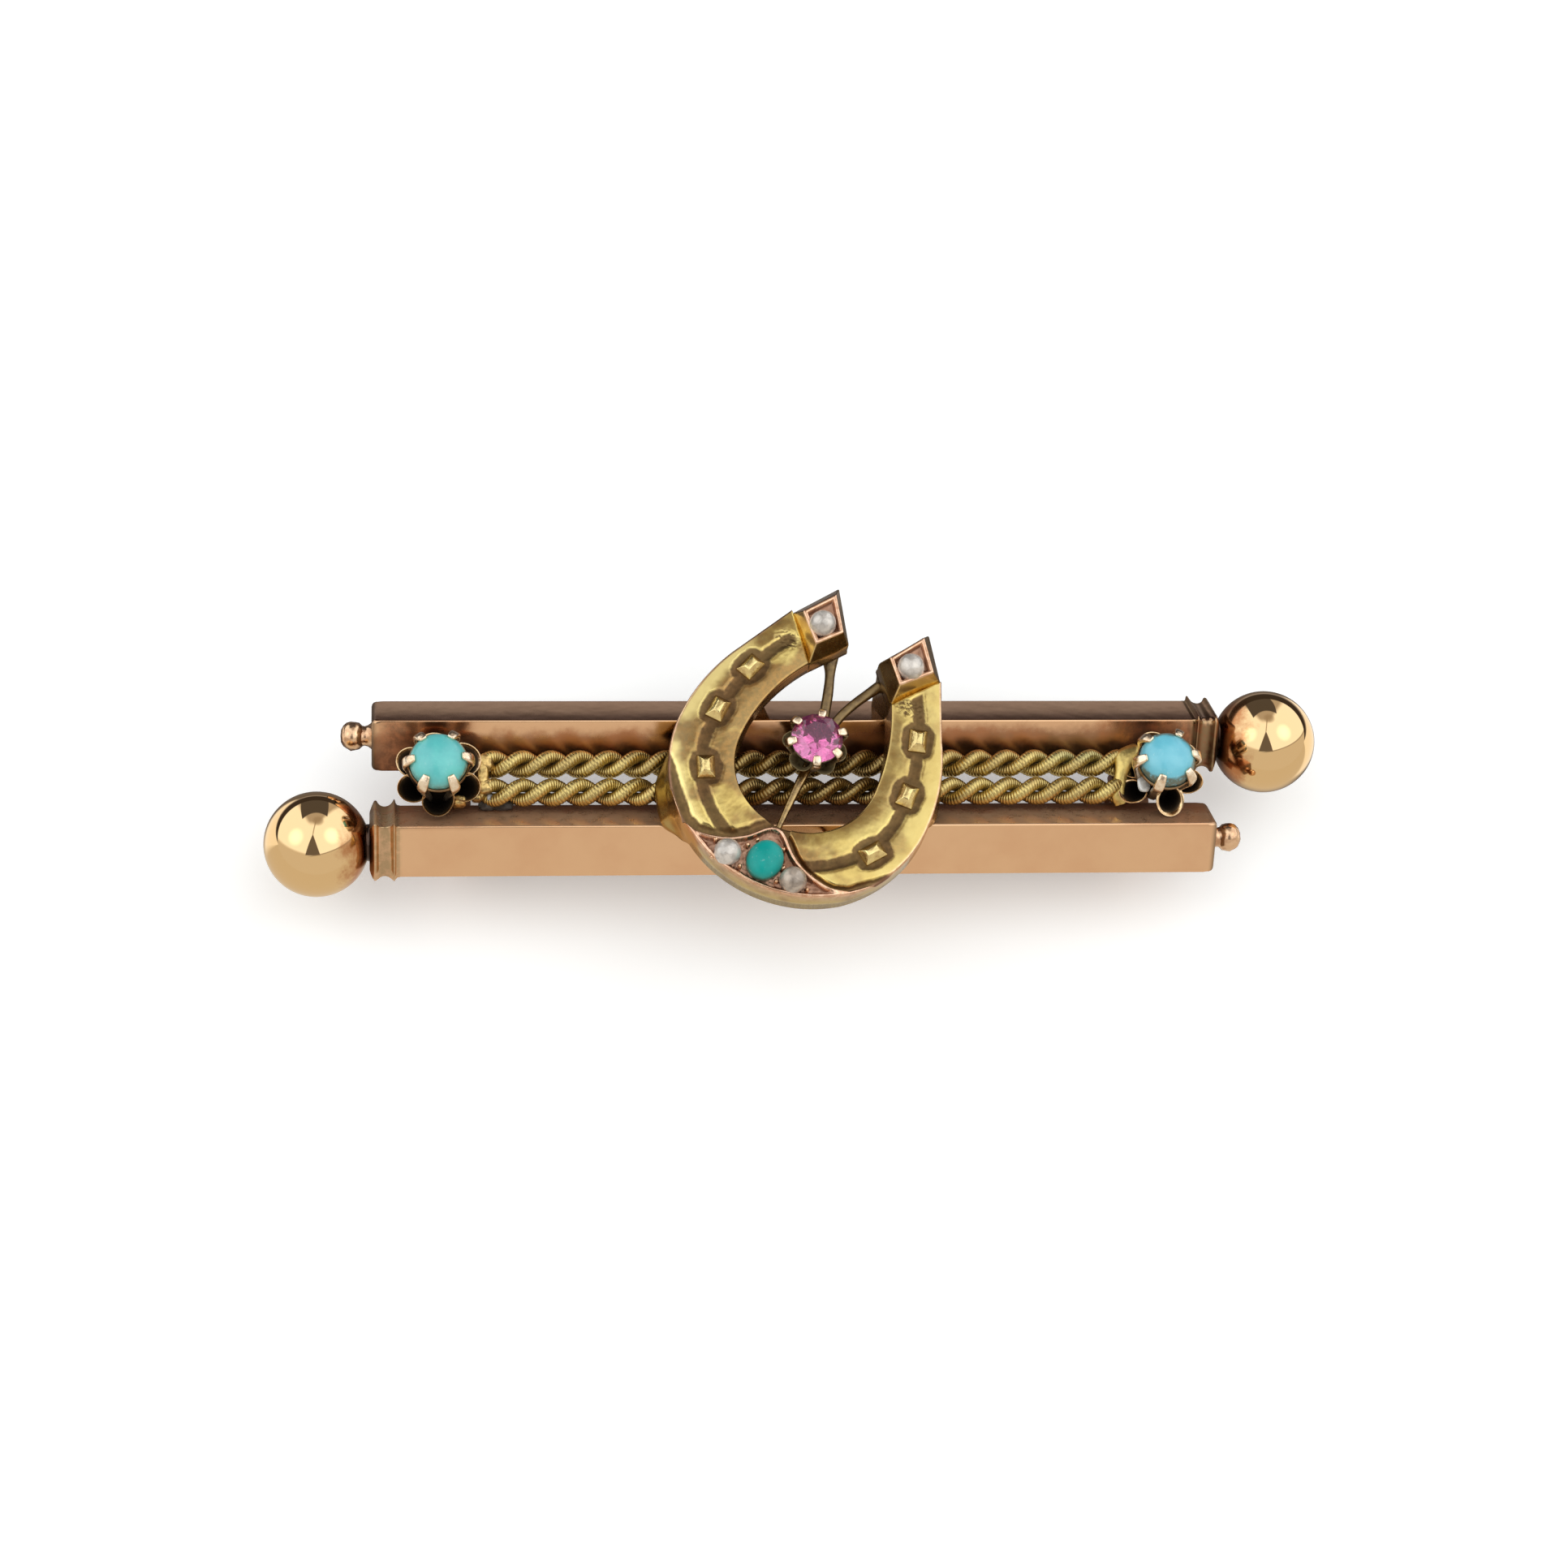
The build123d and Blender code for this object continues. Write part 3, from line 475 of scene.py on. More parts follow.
def make_pearl(name, pair):
    n, place = start_material(name)
    cloud = n.noise(place, 2.2, 4.0, 0.6, 0.6)
    return n.surface({
        "Base Color": n.two_tone(cloud, 0.35, 0.7, pair), "Metallic": 0.35, "Roughness": 0.27,
        "Coat Weight": 0.5, "Coat Roughness": 0.15, "Normal": n.bump(cloud, 0.5, 0.0001),
    })


def make_ruby_glass():
    n, place = start_material("ruby_glass")
    color = n.two_tone(n.noise(place, 1.5, 3.0), 0.4, 0.65, RUBY_TONES)
    return n.surface({"Base Color": color, "Roughness": 0.02, "IOR": 1.77, "Transmission Weight": 0.90})


def build(name, points, faces, materials, marks=None, kinds=None, smooth=True, sharp=None):
    """A piece from points in millimetres. kinds holds the place of each face in materials."""
    mesh = bpy.data.meshes.new(name)
    mesh.from_pydata((np.asarray(points, float) * MM).tolist(), [], faces)
    for item in materials:
        mesh.materials.append(item)
    if kinds:
        mesh.polygons.foreach_set("material_index", kinds)
    mesh.polygons.foreach_set("use_smooth", [smooth] * len(faces))
    for mark, values in (marks or {}).items():
        layer = mesh.attributes.new(mark, "FLOAT", "POINT")
        layer.data.foreach_set("value", np.asarray(values, np.float32))
    work = bmesh.new()
    work.from_mesh(mesh)
    # Rows that fall on one another become one row
    bmesh.ops.remove_doubles(work, verts=work.verts, dist=1e-7)
    bmesh.ops.recalc_face_normals(work, faces=work.faces)
    work.to_mesh(mesh)
    work.free()
    if sharp:
        mesh.set_sharp_from_angle(angle=math.radians(sharp))
    piece = bpy.data.objects.new(name, mesh)
    scene.collection.objects.link(piece)
    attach(piece, "root")
    return piece


def tube_faces(rows, columns, first=True, last=True, flip=False):
    """Quads between rings of points. first and last close its ends with a flat face."""
    faces = []
    for r in range(rows - 1):
        low = r * columns
        high = low + columns
        for c in range(columns):
            d = (c + 1) % columns
            faces.append([low + c, low + d, high + d, high + c])
    if first:
        faces.append(list(range(columns))[::-1])
    if last:
        faces.append([(rows - 1) * columns + c for c in range(columns)])
    return [face[::-1] for face in faces] if flip else faces


class Shape:
    """Collects the shells of one piece: points, faces, their material and their marks."""

    def __init__(self):
        self.points = []
        self.faces = []
        self.kinds = []
        self.marks = {"dark": [], "pink": [], "side": [], "inner": []}

    def add(self, points, faces, kind, marks):
        start = len(self.points)
        self.points += [tuple(point) for point in points]
        self.faces += [[start + k for k in face] for face in faces]
        self.kinds += [kind] * len(faces)
        for name, values in self.marks.items():
            values.extend(np.broadcast_to(marks.get(name, 0.0), len(points)))

    def rings(self, rings, kind=0, dark=0.0, first=True):
        """A tube through rings. dark is one value, or one value for each ring."""
        count = len(rings[0])
        points = [point for ring in rings for point in ring]
        dark = np.repeat(np.broadcast_to(dark, len(rings)), count)
        self.add(points, tube_faces(len(rings), count, first), kind, {"dark": dark})

    def sweep(self, rows, across, kind, dark, power, count):
        """A bar along rows of place, half width and half thickness."""
        path = [row[:3] for row in rows]
        sizes = [row[3:] for row in rows]
        self.rings(sweep_rings(path, across, sizes, power, count), kind, dark)

    def make(self, name, materials, sharp=None):
        return build(
            name, self.points, self.faces, materials, self.marks, self.kinds, sharp=sharp,
        )


def lathe_rings(profile, centre, way_x, count):
    """Rings of a form turned about a line along X. profile holds (along, radius)."""
    axis = Vector((way_x, 0, 0))
    side = axis.orthogonal().normalized()
    other = axis.cross(side)
    rings = []
    for along, radius in profile:
        middle = Vector(centre) + axis * along
        angles = [TAU * k / count for k in range(count)]
        rings.append([middle + (side * math.cos(a) + other * math.sin(a)) * radius for a in angles])
    return rings


def sweep_rings(path, across, sizes, power, count):
    """Rings along a path. across is the direction of the width, and a high power squares the ring."""
    path = [Vector(point) for point in path]
    rings = []
    for k, point in enumerate(path):
        way = (path[min(k + 1, len(path) - 1)] - path[max(k - 1, 0)]).normalized()
        side = Vector(across)
        side = (side - way * side.dot(way)).normalized()
        up = side.cross(way)
        ring = []
        for step in range(count):
            angle = TAU * (step + 0.5) / count
            c = math.cos(angle)
            s = math.sin(angle)
            u = math.copysign(abs(c) ** (2 / power), c) * sizes[k][0]
            v = math.copysign(abs(s) ** (2 / power), s) * sizes[k][1]
            ring.append(point + side * u + up * v)
        rings.append(ring)
    return rings


def lumps(points, size, seed, octaves=3):
    """Smooth noise, about -1 to 1, at points in millimetres."""
    offset = Vector((seed * 7.31, seed * 3.17, seed * 5.77))
    return np.array([noise.fractal(Vector(point) / size + offset, 0.6, 2.0, octaves) for point in points])


def soft(value, low, high):
    """Smooth step from 0 at low to 1 at high, for arrays."""
    share = np.clip((value - low) / (high - low), 0, 1)
    return share * share * (3 - 2 * share)


def smooth_line(points, steps):
    """Curve through points or rows of numbers (Catmull-Rom)."""
    points = [np.array(p, float) for p in points]
    points = [2 * points[0] - points[1]] + points + [2 * points[-1] - points[-2]]
    line = []
    for k in range(1, len(points) - 2):
        a, b, c, d = points[k - 1:k + 3]
        for t in np.arange(steps) / steps:
            bend = (2 * a - 5 * b + 4 * c - d) * t * t + (3 * b - a - 3 * c + d) * t ** 3
            line.append(0.5 * (2 * b + (c - a) * t + bend))
    line.append(points[-2])
    return np.array(line)


def add_lump(
    shape, centre, size, rows, count, power, grain, seed, rough, kind=0, dark=0.0, hollow_shade=0.0, pink=0.0,
):
    """Rounded lump broken up by noise. A low power makes it blockier, and its hollows get painted shade."""
    tilt = np.linspace(0, math.pi, rows + 1)[:, None]
    angle = TAU * np.arange(count) / count
    away = [np.sin(tilt) * np.cos(angle), np.sin(tilt) * np.sin(angle), np.cos(tilt) + 0 * angle]
    way = np.stack(away, -1).reshape(-1, 3)
    away = np.sign(way) * np.abs(way) ** power * size
    offset = lumps(away + centre, grain, seed)
    points = away * (1 + rough * offset[:, None]) + centre
    # Painted shade in the hollows of the lump
    marks = {"dark": np.clip(dark + soft(-offset, 0.05, 0.45) * hollow_shade, 0, 1), "pink": pink}
    shape.add(points, tube_faces(rows + 1, count, False, False, True), kind, marks)


# Bars
AXIS_Z = 4.4
BAR_Y = 2.66
BAR_HALF = 1.81
CAP_START = 18.85
CAP_LENGTH = 1.4
CAP_LIP = 0.3
LEFT_CAP_LIP = 0.10
BALL_RADIUS = 2.45
BALL_X = 22.68
# Distance back from the end, how far it is drawn in, and tarnish
PLAIN_END = [
    (0.0, 0.30, 0.75), (0.0, 0.26, 0.75), (0.03, 0.14, 0.7),
    (0.10, 0.05, 0.55), (0.22, 0.0, 0.15), (0.30, 0.0, 0.0),
]
# Share of the moulding's length, and share of its lip
CAP_PROFILE = [
    (0.0, 0.0), (0.08, 0.05), (0.13, 0.35), (0.165, 1.0), (0.2, 1.0), (0.24, 0.6), (0.3, 0.22),
    (0.38, -0.05), (0.48, -0.18), (0.56, -0.16), (0.64, 0.0), (0.71, 0.3), (0.77, 0.8),
    (0.81, 0.85), (0.85, 0.75), (0.9, 0.2), (0.95, -0.4), (0.99, -1.0), (1.0, -1.3),
]
NECK = [(0.0, 0.98), (0.2, 0.86), (0.45, 0.86), (0.7, 0.95), (1.0, 1.25), (1.25, 1.5)]
BEAD_NECK = [(0.0, 0.66), (0.08, 0.58), (0.2, 0.50), (0.34, 0.46), (0.5, 0.50)]


def square_ring(x, half, corner, centre_y):
    """Square on its edge with rounded corners, at one place along X."""
    def toward(angle):
        return Vector((math.cos(angle), math.sin(angle)))

    near = min(0.06, (half * math.sqrt(2) / 2 - corner) * 0.4)
    ring = []
    for angle in (0, TAU / 4, TAU / 2, TAU * 3 / 4):
        middle = toward(angle) * (half - corner * math.sqrt(2))
        arc = [middle + toward(angle + TAU / 8 * (k / 2 - 1)) * corner for k in range(5)]
        ring += [arc[0] + toward(angle - TAU * 3 / 8) * near * share for share in (0.85, 0.3)]
        ring += arc
        ring += [arc[-1] + toward(angle + TAU * 3 / 8) * near * share for share in (0.3, 0.85)]
    return [(x, centre_y + y, AXIS_Z + z) for y, z in ring]


def worn_corner(ring, centre_y, half):
    """The moulding at the left has a lower corner that is worn flat."""
    limit = BAR_HALF + LEFT_CAP_LIP
    cut = [k for k, point in enumerate(ring) if point[1] < centre_y - limit]
    widest = max([abs(ring[k][2] - AXIS_Z) for k in cut] + [0.001])
    for k in cut:
        x, _, z = ring[k]
        ring[k] = (x, centre_y - limit, AXIS_Z + (z - AXIS_Z) / widest * (half - limit))
    return ring


def add_bar(shape, side, bar_end, cap_corner, centre_y):
    """Square bar with its plain end and its moulding."""
    rings = []
    dark = []
    for back, shrink, shade in PLAIN_END:
        rings.append(square_ring(-side * (bar_end - back), BAR_HALF - shrink, 0.16, centre_y))
        dark.append(shade)
    for x in np.linspace(-side * (bar_end - 0.5), side * CAP_START, 41):
        rings.append(square_ring(x, BAR_HALF, 0.085, centre_y))
        dark.append(0.0)
    for along, out in CAP_PROFILE:
        half = BAR_HALF + CAP_LIP * out
        corner = cap_corner * min(1.0, along / 0.3) + 0.05
        ring = square_ring(side * (CAP_START + CAP_LENGTH * along), half, corner, centre_y)
        rings.append(worn_corner(ring, centre_y, half) if side < 0 else ring)
        dark.append(0.55 if along > 0.88 else 0.25 if 0.3 < along < 0.66 else 0.12)
    if side < 0:
        rings = [ring[::-1] for ring in rings]
    shape.rings(rings, 0, dark)


def add_ball(shape, side, centre_y, ball_y):
    """Ball and its neck."""
    angles = np.linspace(0, math.pi, 49)
    profile = [(BALL_RADIUS * (1 - math.cos(a)), max(BALL_RADIUS * math.sin(a), 0.0001)) for a in angles]
    shape.rings(lathe_rings(profile, (side * (BALL_X + BALL_RADIUS), ball_y, AXIS_Z), -side, 96), 1)
    neck_place = (side * (CAP_START + CAP_LENGTH - 0.15), (centre_y + ball_y) / 2, AXIS_Z)
    shape.rings(lathe_rings(NECK, neck_place, side, 40), 1, 1.0)


def add_bead(shape, side, bar_end, centre_y):
    """Uneven bead and its neck at the plain end."""
    def place(beyond):
        return Vector((-side * (bar_end + beyond), centre_y, AXIS_Z))

    shape.rings(lathe_rings(BEAD_NECK, place(-0.02), -side, 20), 2, 0.8)
    random = np.random.default_rng(5 + side)
    angles = np.linspace(0, math.pi, 10)
    profile = [(0.02 + 0.58 * (1 - math.cos(a)), 0.7 * math.sin(a) ** 0.85 + 0.001) for a in angles]
    rings = lathe_rings(profile, place(0.27), -side, 13)
    for ring in rings[1:-1]:
        for k, point in enumerate(ring):
            ring[k] = place(0.87) + (point - place(0.87)) * (1 + random.uniform(-0.045, 0.03))
    shape.rings(rings, 2)


def make_bar_piece(name, side, bar_end, ball_drop, cap_corner, materials):
    """side is 1 for the bar whose ball is at the right."""
    shape = Shape()
    centre_y = BAR_Y * side
    add_bar(shape, side, bar_end, cap_corner, centre_y)
    add_ball(shape, side, centre_y, centre_y - ball_drop)
    add_bead(shape, side, bar_end, centre_y)
    return shape.make(name, materials, 40)


# Ropes
ROPE_Y = 0.71
ROPE_Z = AXIS_Z + 1.13
STRAND_RADIUS = 0.32
TURN_RADIUS = 0.345
STRAND_PITCH = 2.698
STRAND_ENDS = (-14.82, 15.12)
FIRST_WIDE = -12.3 - STRAND_PITCH / 4
WINDING = 0.142
ROWS_PER_WINDING = 6
STRAND_SIDES = 24


def make_strand(name, side, second, gold):
    """A core wound with fine wire: ridges run round the strand."""
    rate = TAU / STRAND_PITCH
    stretch = math.hypot(1, TURN_RADIUS * rate)
    total = (STRAND_ENDS[1] - STRAND_ENDS[0]) * stretch
    windings = int(total / WINDING)
    rows = int(total / WINDING * ROWS_PER_WINDING)
    along = np.linspace(0, total, rows)
    x = STRAND_ENDS[0] + along / stretch
    phase = rate * (x - FIRST_WIDE) + second * math.pi
    random = np.random.default_rng(11 + 2 * second + (side > 0))
    drift = np.cumsum(random.normal(0, 0.012, rows)) * 0.05
    uneven = random.uniform(-0.006, 0.006, windings)
    # Middle line of the strand, with its directions along, outwards and across
    out = np.stack([0 * x, -np.cos(phase), np.sin(phase)], 1)
    middle = TURN_RADIUS * out + np.stack([x, 0 * x + side * ROPE_Y, 0 * x + ROPE_Z], 1)
    way = np.stack([0 * x + 1, TURN_RADIUS * rate * np.sin(phase), TURN_RADIUS * rate * np.cos(phase)], 1)
    across = np.cross(way / np.linalg.norm(way, axis=1, keepdims=True), out)
    angle = TAU * np.arange(STRAND_SIDES) / STRAND_SIDES
    ridge = np.abs(np.sin(np.pi * (along[:, None] / WINDING + drift[:, None] + angle / TAU))) ** 0.7
    lump = np.interp(along, np.linspace(0, total, windings), uneven)
    radius = STRAND_RADIUS - 0.024 + 0.028 * ridge + lump[:, None]
    points = middle[:, None] + out[:, None] * (np.cos(angle) * radius)[..., None]
    points += across[:, None] * (np.sin(angle) * radius)[..., None]
    # Painted shade and old dirt in the grooves, and painted shade where the strand touches its neighbour
    crevice = 0.9 * np.clip((-np.cos(angle) - 0.35) * 1.4, 0, 1)
    dark = np.maximum(np.clip(1 - ridge * 1.5, 0, 1), crevice)
    faces = tube_faces(rows, STRAND_SIDES, True, True, True)
    return build(name, points.reshape(-1, 3), faces, [gold], {"dark": dark.reshape(-1)})


# Horseshoe, in its own plane: X across and Y towards the heels
SHOE_TURN = math.radians(25.4)
SHOE_PLACE = (-0.29, -0.97)
SHOE_LOW = AXIS_Z + 3.1
SKIRT_LOW = AXIS_Z + 0.3
OVER_ROPES = AXIS_Z + 1.87
FACE_Z = SHOE_LOW + 1.25
CAP_TOP = FACE_Z + 0.65
CLIP_RISE = 0.42
CLIP_TOP = FACE_Z + CLIP_RISE
SHOE_RADIUS = 6.27
SHOE_TOE = 6.2
SHOE_BEND = (5.29, 4.09)
INNER_WAIST = (3.36, 0.35)
INNER_TOE = 3.0
HEEL = {"corner": (3.55, 7.5), "tip": (2.3, 9.1), "inner": (0.8, 6.75), "root": (2.15, 5.0)}
# The worn outline isn't even: how far its places lie outside of the regular form
HEEL_WEAR = {
    -1: {"corner": (0.20, 0.11), "tip": (0.06, 0.20), "bend": (0.11, 0.06), "waist": 0.09},
    1: {"corner": (0.12, 0.06), "tip": (0.13, 0.06), "bend": (0.0, 0.0), "waist": 0.0},
}
TOE_WEAR = [(-math.pi, 0.09), (-2.2, 0.0), (-1.6, 0.06), (-0.9, 0.20), (-0.3, 0.08), (0.0, 0.0)]
# Points along the tip, the heel, the arm and the toe, and across the band
COLUMNS = (44, 76, 78, 330)
BAND_STEPS = 50
EDGE_STEPS = np.array([0.0, 0.012, 0.035, 0.07, 0.11])
GROOVE_RADIUS = 4.85
# Side, place as shares of the groove's radius, and turn in degrees
NAILS = [
    (-1, 0.89, 0.78, 18), (-1, 1.0, 0.24, 3), (-1, 0.87, -0.36, -26),
    (1, 0.87, 0.75, 17), (1, 0.99, 0.18, 2), (1, 0.91, -0.5, -36),
]
CLIP_HALF = 4.12
CLIP_PEAK = 2.9
CLIP_EDGE = [
    (0.0, 1.0), (0.07, 0.98), (0.15, 0.89), (0.27, 0.71),
    (0.44, 0.55), (0.63, 0.46), (0.82, 0.43), (1.0, 0.52),
]
# Where the foot of a heel cap crosses the outer edge
FOOT_UP = 7.05
FOOT_SHARE = (HEEL["corner"][1] - FOOT_UP) / (HEEL["corner"][1] - SHOE_BEND[1])
FOOT_OUT = HEEL["corner"][0] + FOOT_SHARE * (SHOE_BEND[0] - HEEL["corner"][0])
# Spread and level of the outer wall: 0 is the face, 1 the foot of the wall, 2 the foot of the skirt
OUTER_WALL = [
    (0.0, 0.12), (0.0, 0.5), (0.0, 1.0), (0.10, 1.12), (0.24, 1.2), (0.38, 1.30),
    (0.50, 1.36), (0.47, 1.48), (0.30, 1.64), (-0.05, 1.83), (-0.5, 2.0),
]
INNER_WALL = (0.06, 0.3, 0.6, 1.0, 1.3, 1.7, 2.0)


def heel_point(side, out, up):
    return (side * out + 0.24, up - side * 0.14)


def heel_place(side, name):
    more = HEEL_WEAR[side].get(name, (0.0, 0.0))
    return heel_point(side, HEEL[name][0] + more[0], HEEL[name][1] + more[1])


def shoe_world(points):
    """Points of the horseshoe's plane, with a height, in the shared frame."""
    x, y, z = np.asarray(points, float).T
    c = math.cos(SHOE_TURN)
    s = math.sin(SHOE_TURN)
    return np.stack([SHOE_PLACE[0] + x * c + y * s, SHOE_PLACE[1] - x * s + y * c, z], 1)


def distance(points, line, chunk=3000):
    """Distance of each point from a finely sampled line."""
    result = np.empty(len(points))
    for start in range(0, len(points), chunk):
        gaps = points[start:start + chunk, None] - line[None]
        result[start:start + chunk] = np.sqrt((gaps ** 2).sum(2).min(1))
    return result


def oval(flat, x, y, half_x, half_y, power=2.0):
    """1 on an oval round a place, less inside of it."""
    parts = np.abs((flat - (x, y)) / (half_x, half_y)) ** power
    return parts.sum(1) ** (1 / power)


def straight(a, b, count):
    share = np.linspace(0, 1, count)[:, None]
    return np.array(a) * (1 - share) + np.array(b) * share


def tangent_arc(waist, end, count):
    """Arc that leaves the waist straight up and ends at a given point."""
    gap = np.array(end, float) - waist
    radius = (gap @ gap) / (2 * abs(gap[0]))
    sign = math.copysign(1, gap[0])
    angle = np.linspace(0, math.atan2(gap[1], radius - abs(gap[0])), count)
    return waist + np.stack([sign * radius * (1 - np.cos(angle)), radius * np.sin(angle)], 1)


def bow(side_x, side_y, low_y, count):
    """Arc from the left through the lowest point to the right."""
    rise = side_y - low_y
    radius = (side_x ** 2 + rise ** 2) / (2 * rise)
    centre_y = low_y + radius
    reach = math.atan2(side_x, centre_y - side_y)
    angle = np.linspace(-reach, reach, count)
    return np.stack([radius * np.sin(angle), centre_y - radius * np.cos(angle)], 1)


def arm_edges(side):
    """Outer and inner edge of one arm, from its tip to its waist."""
    tip, corner, inside, root = [heel_place(side, name) for name in ("tip", "corner", "inner", "root")]
    wear = HEEL_WEAR[side]
    bend = (side * (SHOE_BEND[0] + wear["bend"][0]), SHOE_BEND[1] + wear["bend"][1])
    outer_waist = (side * (SHOE_RADIUS + wear["waist"]), 0.0)
    inner_waist = (side * INNER_WAIST[0], INNER_WAIST[1])
    edges = []
    for first, second, waist, end in ((tip, corner, outer_waist, bend), (tip, inside, inner_waist, root)):
        parts = [
            straight(first, second, COLUMNS[0]),
            straight(second, end, COLUMNS[1]),
            tangent_arc(waist, end, COLUMNS[2])[::-1],
        ]
        edges.append(np.concatenate([part[:-1] for part in parts]))
    return edges


def shoe_columns():
    """Matching points along the outer and the inner edge, from the left tip to the right tip."""
    left = arm_edges(-1)
    right = arm_edges(1)
    outer_toe = bow(SHOE_RADIUS, 0.0, -SHOE_TOE, COLUMNS[3])
    angle = np.arctan2(np.minimum(outer_toe[:, 1], 0.0), outer_toe[:, 0])
    angle[0] = -math.pi
    grow = np.interp(angle, *zip(*TOE_WEAR))
    outer_toe *= (1 + grow / np.linalg.norm(outer_toe, axis=1))[:, None]
    inner_toe = bow(INNER_WAIST[0], INNER_WAIST[1], -INNER_TOE, COLUMNS[3])
    outer = np.concatenate([left[0], outer_toe, right[0][::-1]])
    inner = np.concatenate([left[1], inner_toe, right[1][::-1]])
    return outer, inner


def groove_line():
    arc = bow(GROOVE_RADIUS, 0.15, -4.75, 500)
    left = tangent_arc((-GROOVE_RADIUS, 0.15), (-3.25, 5.85), 160)[::-1]
    right = tangent_arc((GROOVE_RADIUS, 0.15), (3.25, 5.85), 160)
    return np.concatenate([left, arc, right])


def clip_line():
    right = smooth_line([(out * CLIP_HALF, up * CLIP_PEAK - SHOE_TOE) for out, up in CLIP_EDGE], 24)
    left = right[::-1] * (-1, 1)
    # Beyond its steps the edge climbs beside the rim of the horseshoe
    far_left = straight(left[0] + (-2.1, 2.35), left[0], 90)
    far_right = straight(right[-1], right[-1] + (2.0, 1.7), 90)
    return np.concatenate([far_left[:-1], left[:-1], right, far_right[1:]])


def nail_places():
    for side, out, up, turn in NAILS:
        yield side * out * GROOVE_RADIUS, up * GROOVE_RADIUS, math.radians(side * turn)


def in_heel(points):
    """How far a point lies inside the foot of a heel cap, in millimetres."""
    best = np.full(len(points), -9.0)
    for side in (-1, 1):
        start = np.array(heel_point(side, FOOT_OUT, FOOT_UP))
        along = heel_point(side, *HEEL["root"]) - start
        inwards = np.array((-along[1], along[0])) * np.sign(along[0]) / np.linalg.norm(along)
        depth = np.where(points[:, 0] * side > -0.4, (points - start) @ inwards, -9.0)
        best = np.maximum(best, depth)
    return best


def nail_hollows(flat, wobble, rough):
    """Depth and tarnish of the sunk ground round the nail heads."""
    halo = np.zeros(len(flat))
    tint = np.zeros(len(flat))
    for x, y, turn in nail_places():
        c = math.cos(turn)
        s = math.sin(turn)
        turned = (flat - (x, y)) @ np.array(((c, -s), (s, c)))
        reach = oval(turned, 0.0, 0.0, 0.80, 1.0, 2.6)
        halo = np.maximum(halo, soft(reach + 0.05 * wobble, 1.10, 0.66))
        tint = np.maximum(tint, soft(reach + 0.06 * wobble + 0.02 * rough, 1.10, 0.82))
    return halo, tint


def shoe_height(flat, outer, inner):
    """Height above the face, tarnish with painted shade, and pink gold with a painted highlight on the rim,
    at points of the horseshoe's plane.
    """
    x = flat[:, 0]
    from_outer = distance(flat, outer)
    from_inner = distance(flat, inner)
    from_groove = distance(flat, groove_line())
    edge = clip_line()
    clip = -np.sign(flat[:, 1] - np.interp(x, edge[:, 0], edge[:, 1])) * distance(flat, edge)
    level = np.column_stack([flat, 0 * x])
    wobble = lumps(level, 0.5, 1)
    rough = lumps(level, 0.13, 2)
    # Slightly domed face that falls towards its edges
    height = 0.004 * wobble
    height -= 0.07 * np.clip(1 - from_outer / 1.0, 0, 1) ** 2
    height -= 0.06 * np.clip(1 - from_inner / 0.8, 0, 1) ** 2
    # Channel and the sunk ground round each nail head, clear of the heel caps
    halo, tint = nail_hollows(flat, wobble, rough)
    groove = soft(from_groove + 0.03 * wobble, 0.42, 0.10)
    keep = soft(in_heel(flat), -0.12, -0.30)
    height -= np.maximum(groove * 0.075, halo * 0.07) * keep
    # Crumbled patch under the left heel, and a worn swirl on the right arm
    patch = soft(oval(flat, -3.3, 5.82, 0.66, 0.5), 1.15, 0.55)
    swirl = soft(oval(flat, 3.3, 5.0, 0.75, 0.5), 1.2, 0.6)
    height += patch * (0.05 * rough - 0.02) + swirl * 0.03 * rough
    # Step beside the clip, then the clip with its rim and sunk ground
    band = np.where(x < 0.6, 0.68, 0.40)
    height -= 0.17 * soft(clip + 0.03 * wobble, -band, -band * 0.45) * soft(clip, 0.05, -0.05)
    on_clip = soft(clip, -0.045, 0.045)
    inset = np.minimum(clip, from_outer)
    ground = soft(inset + 0.02 * wobble, 0.14, 0.24)
    clip_high = CLIP_RISE * (0.3 + 0.7 * soft(np.abs(x), 4.5, 3.3)) + ground * (0.045 * rough - 0.27)
    height = height * (1 - on_clip) + clip_high * on_clip
    # The plate drops away under the heel caps
    under = soft(in_heel(flat), -0.02, 0.06)
    height = height * (1 - under) - 0.9 * under
    # Rounded edges
    for gap in (from_outer, from_inner):
        inside = np.clip(0.10 - gap, 0, 0.10)
        height -= 0.10 - np.sqrt(0.10 ** 2 - inside ** 2 + 1e-12)
    # Tarnish: channel, nails, foot of the clip, crumbled patch and swirl
    near_clip = soft(clip + 0.05 * wobble, -band * 0.95, -band * 0.6) * (1 - on_clip)
    dark = np.maximum.reduce([
        soft(from_groove + 0.04 * wobble + 0.02 * rough, 0.40, 0.18) * 0.9 * keep,
        tint * keep * 0.95,
        near_clip * 0.95,
        patch * soft(rough, 0.25, -0.15) * 0.7,
        swirl * soft(rough, 0.3, -0.2) * 0.75,
    ]) * (1 - on_clip)
    # Grime and painted shade on the ground of the clip, most of it along the foot of the inner rim and in
    # the recess beside the toe stone
    collar = soft(oval(flat, 0.75, -4.35, 0.75, 0.8), 1.1, 0.5)
    grime_and_shade = ground * (0.72 + 0.3 * soft(inset, 0.45, 0.2) + 0.5 * collar) * on_clip
    # Painted highlight: a thin pink line along the outer edge
    pink = np.maximum(on_clip, soft(from_outer, 0.15, 0.06) * 0.8)
    return height, np.maximum(dark, grime_and_shade), pink


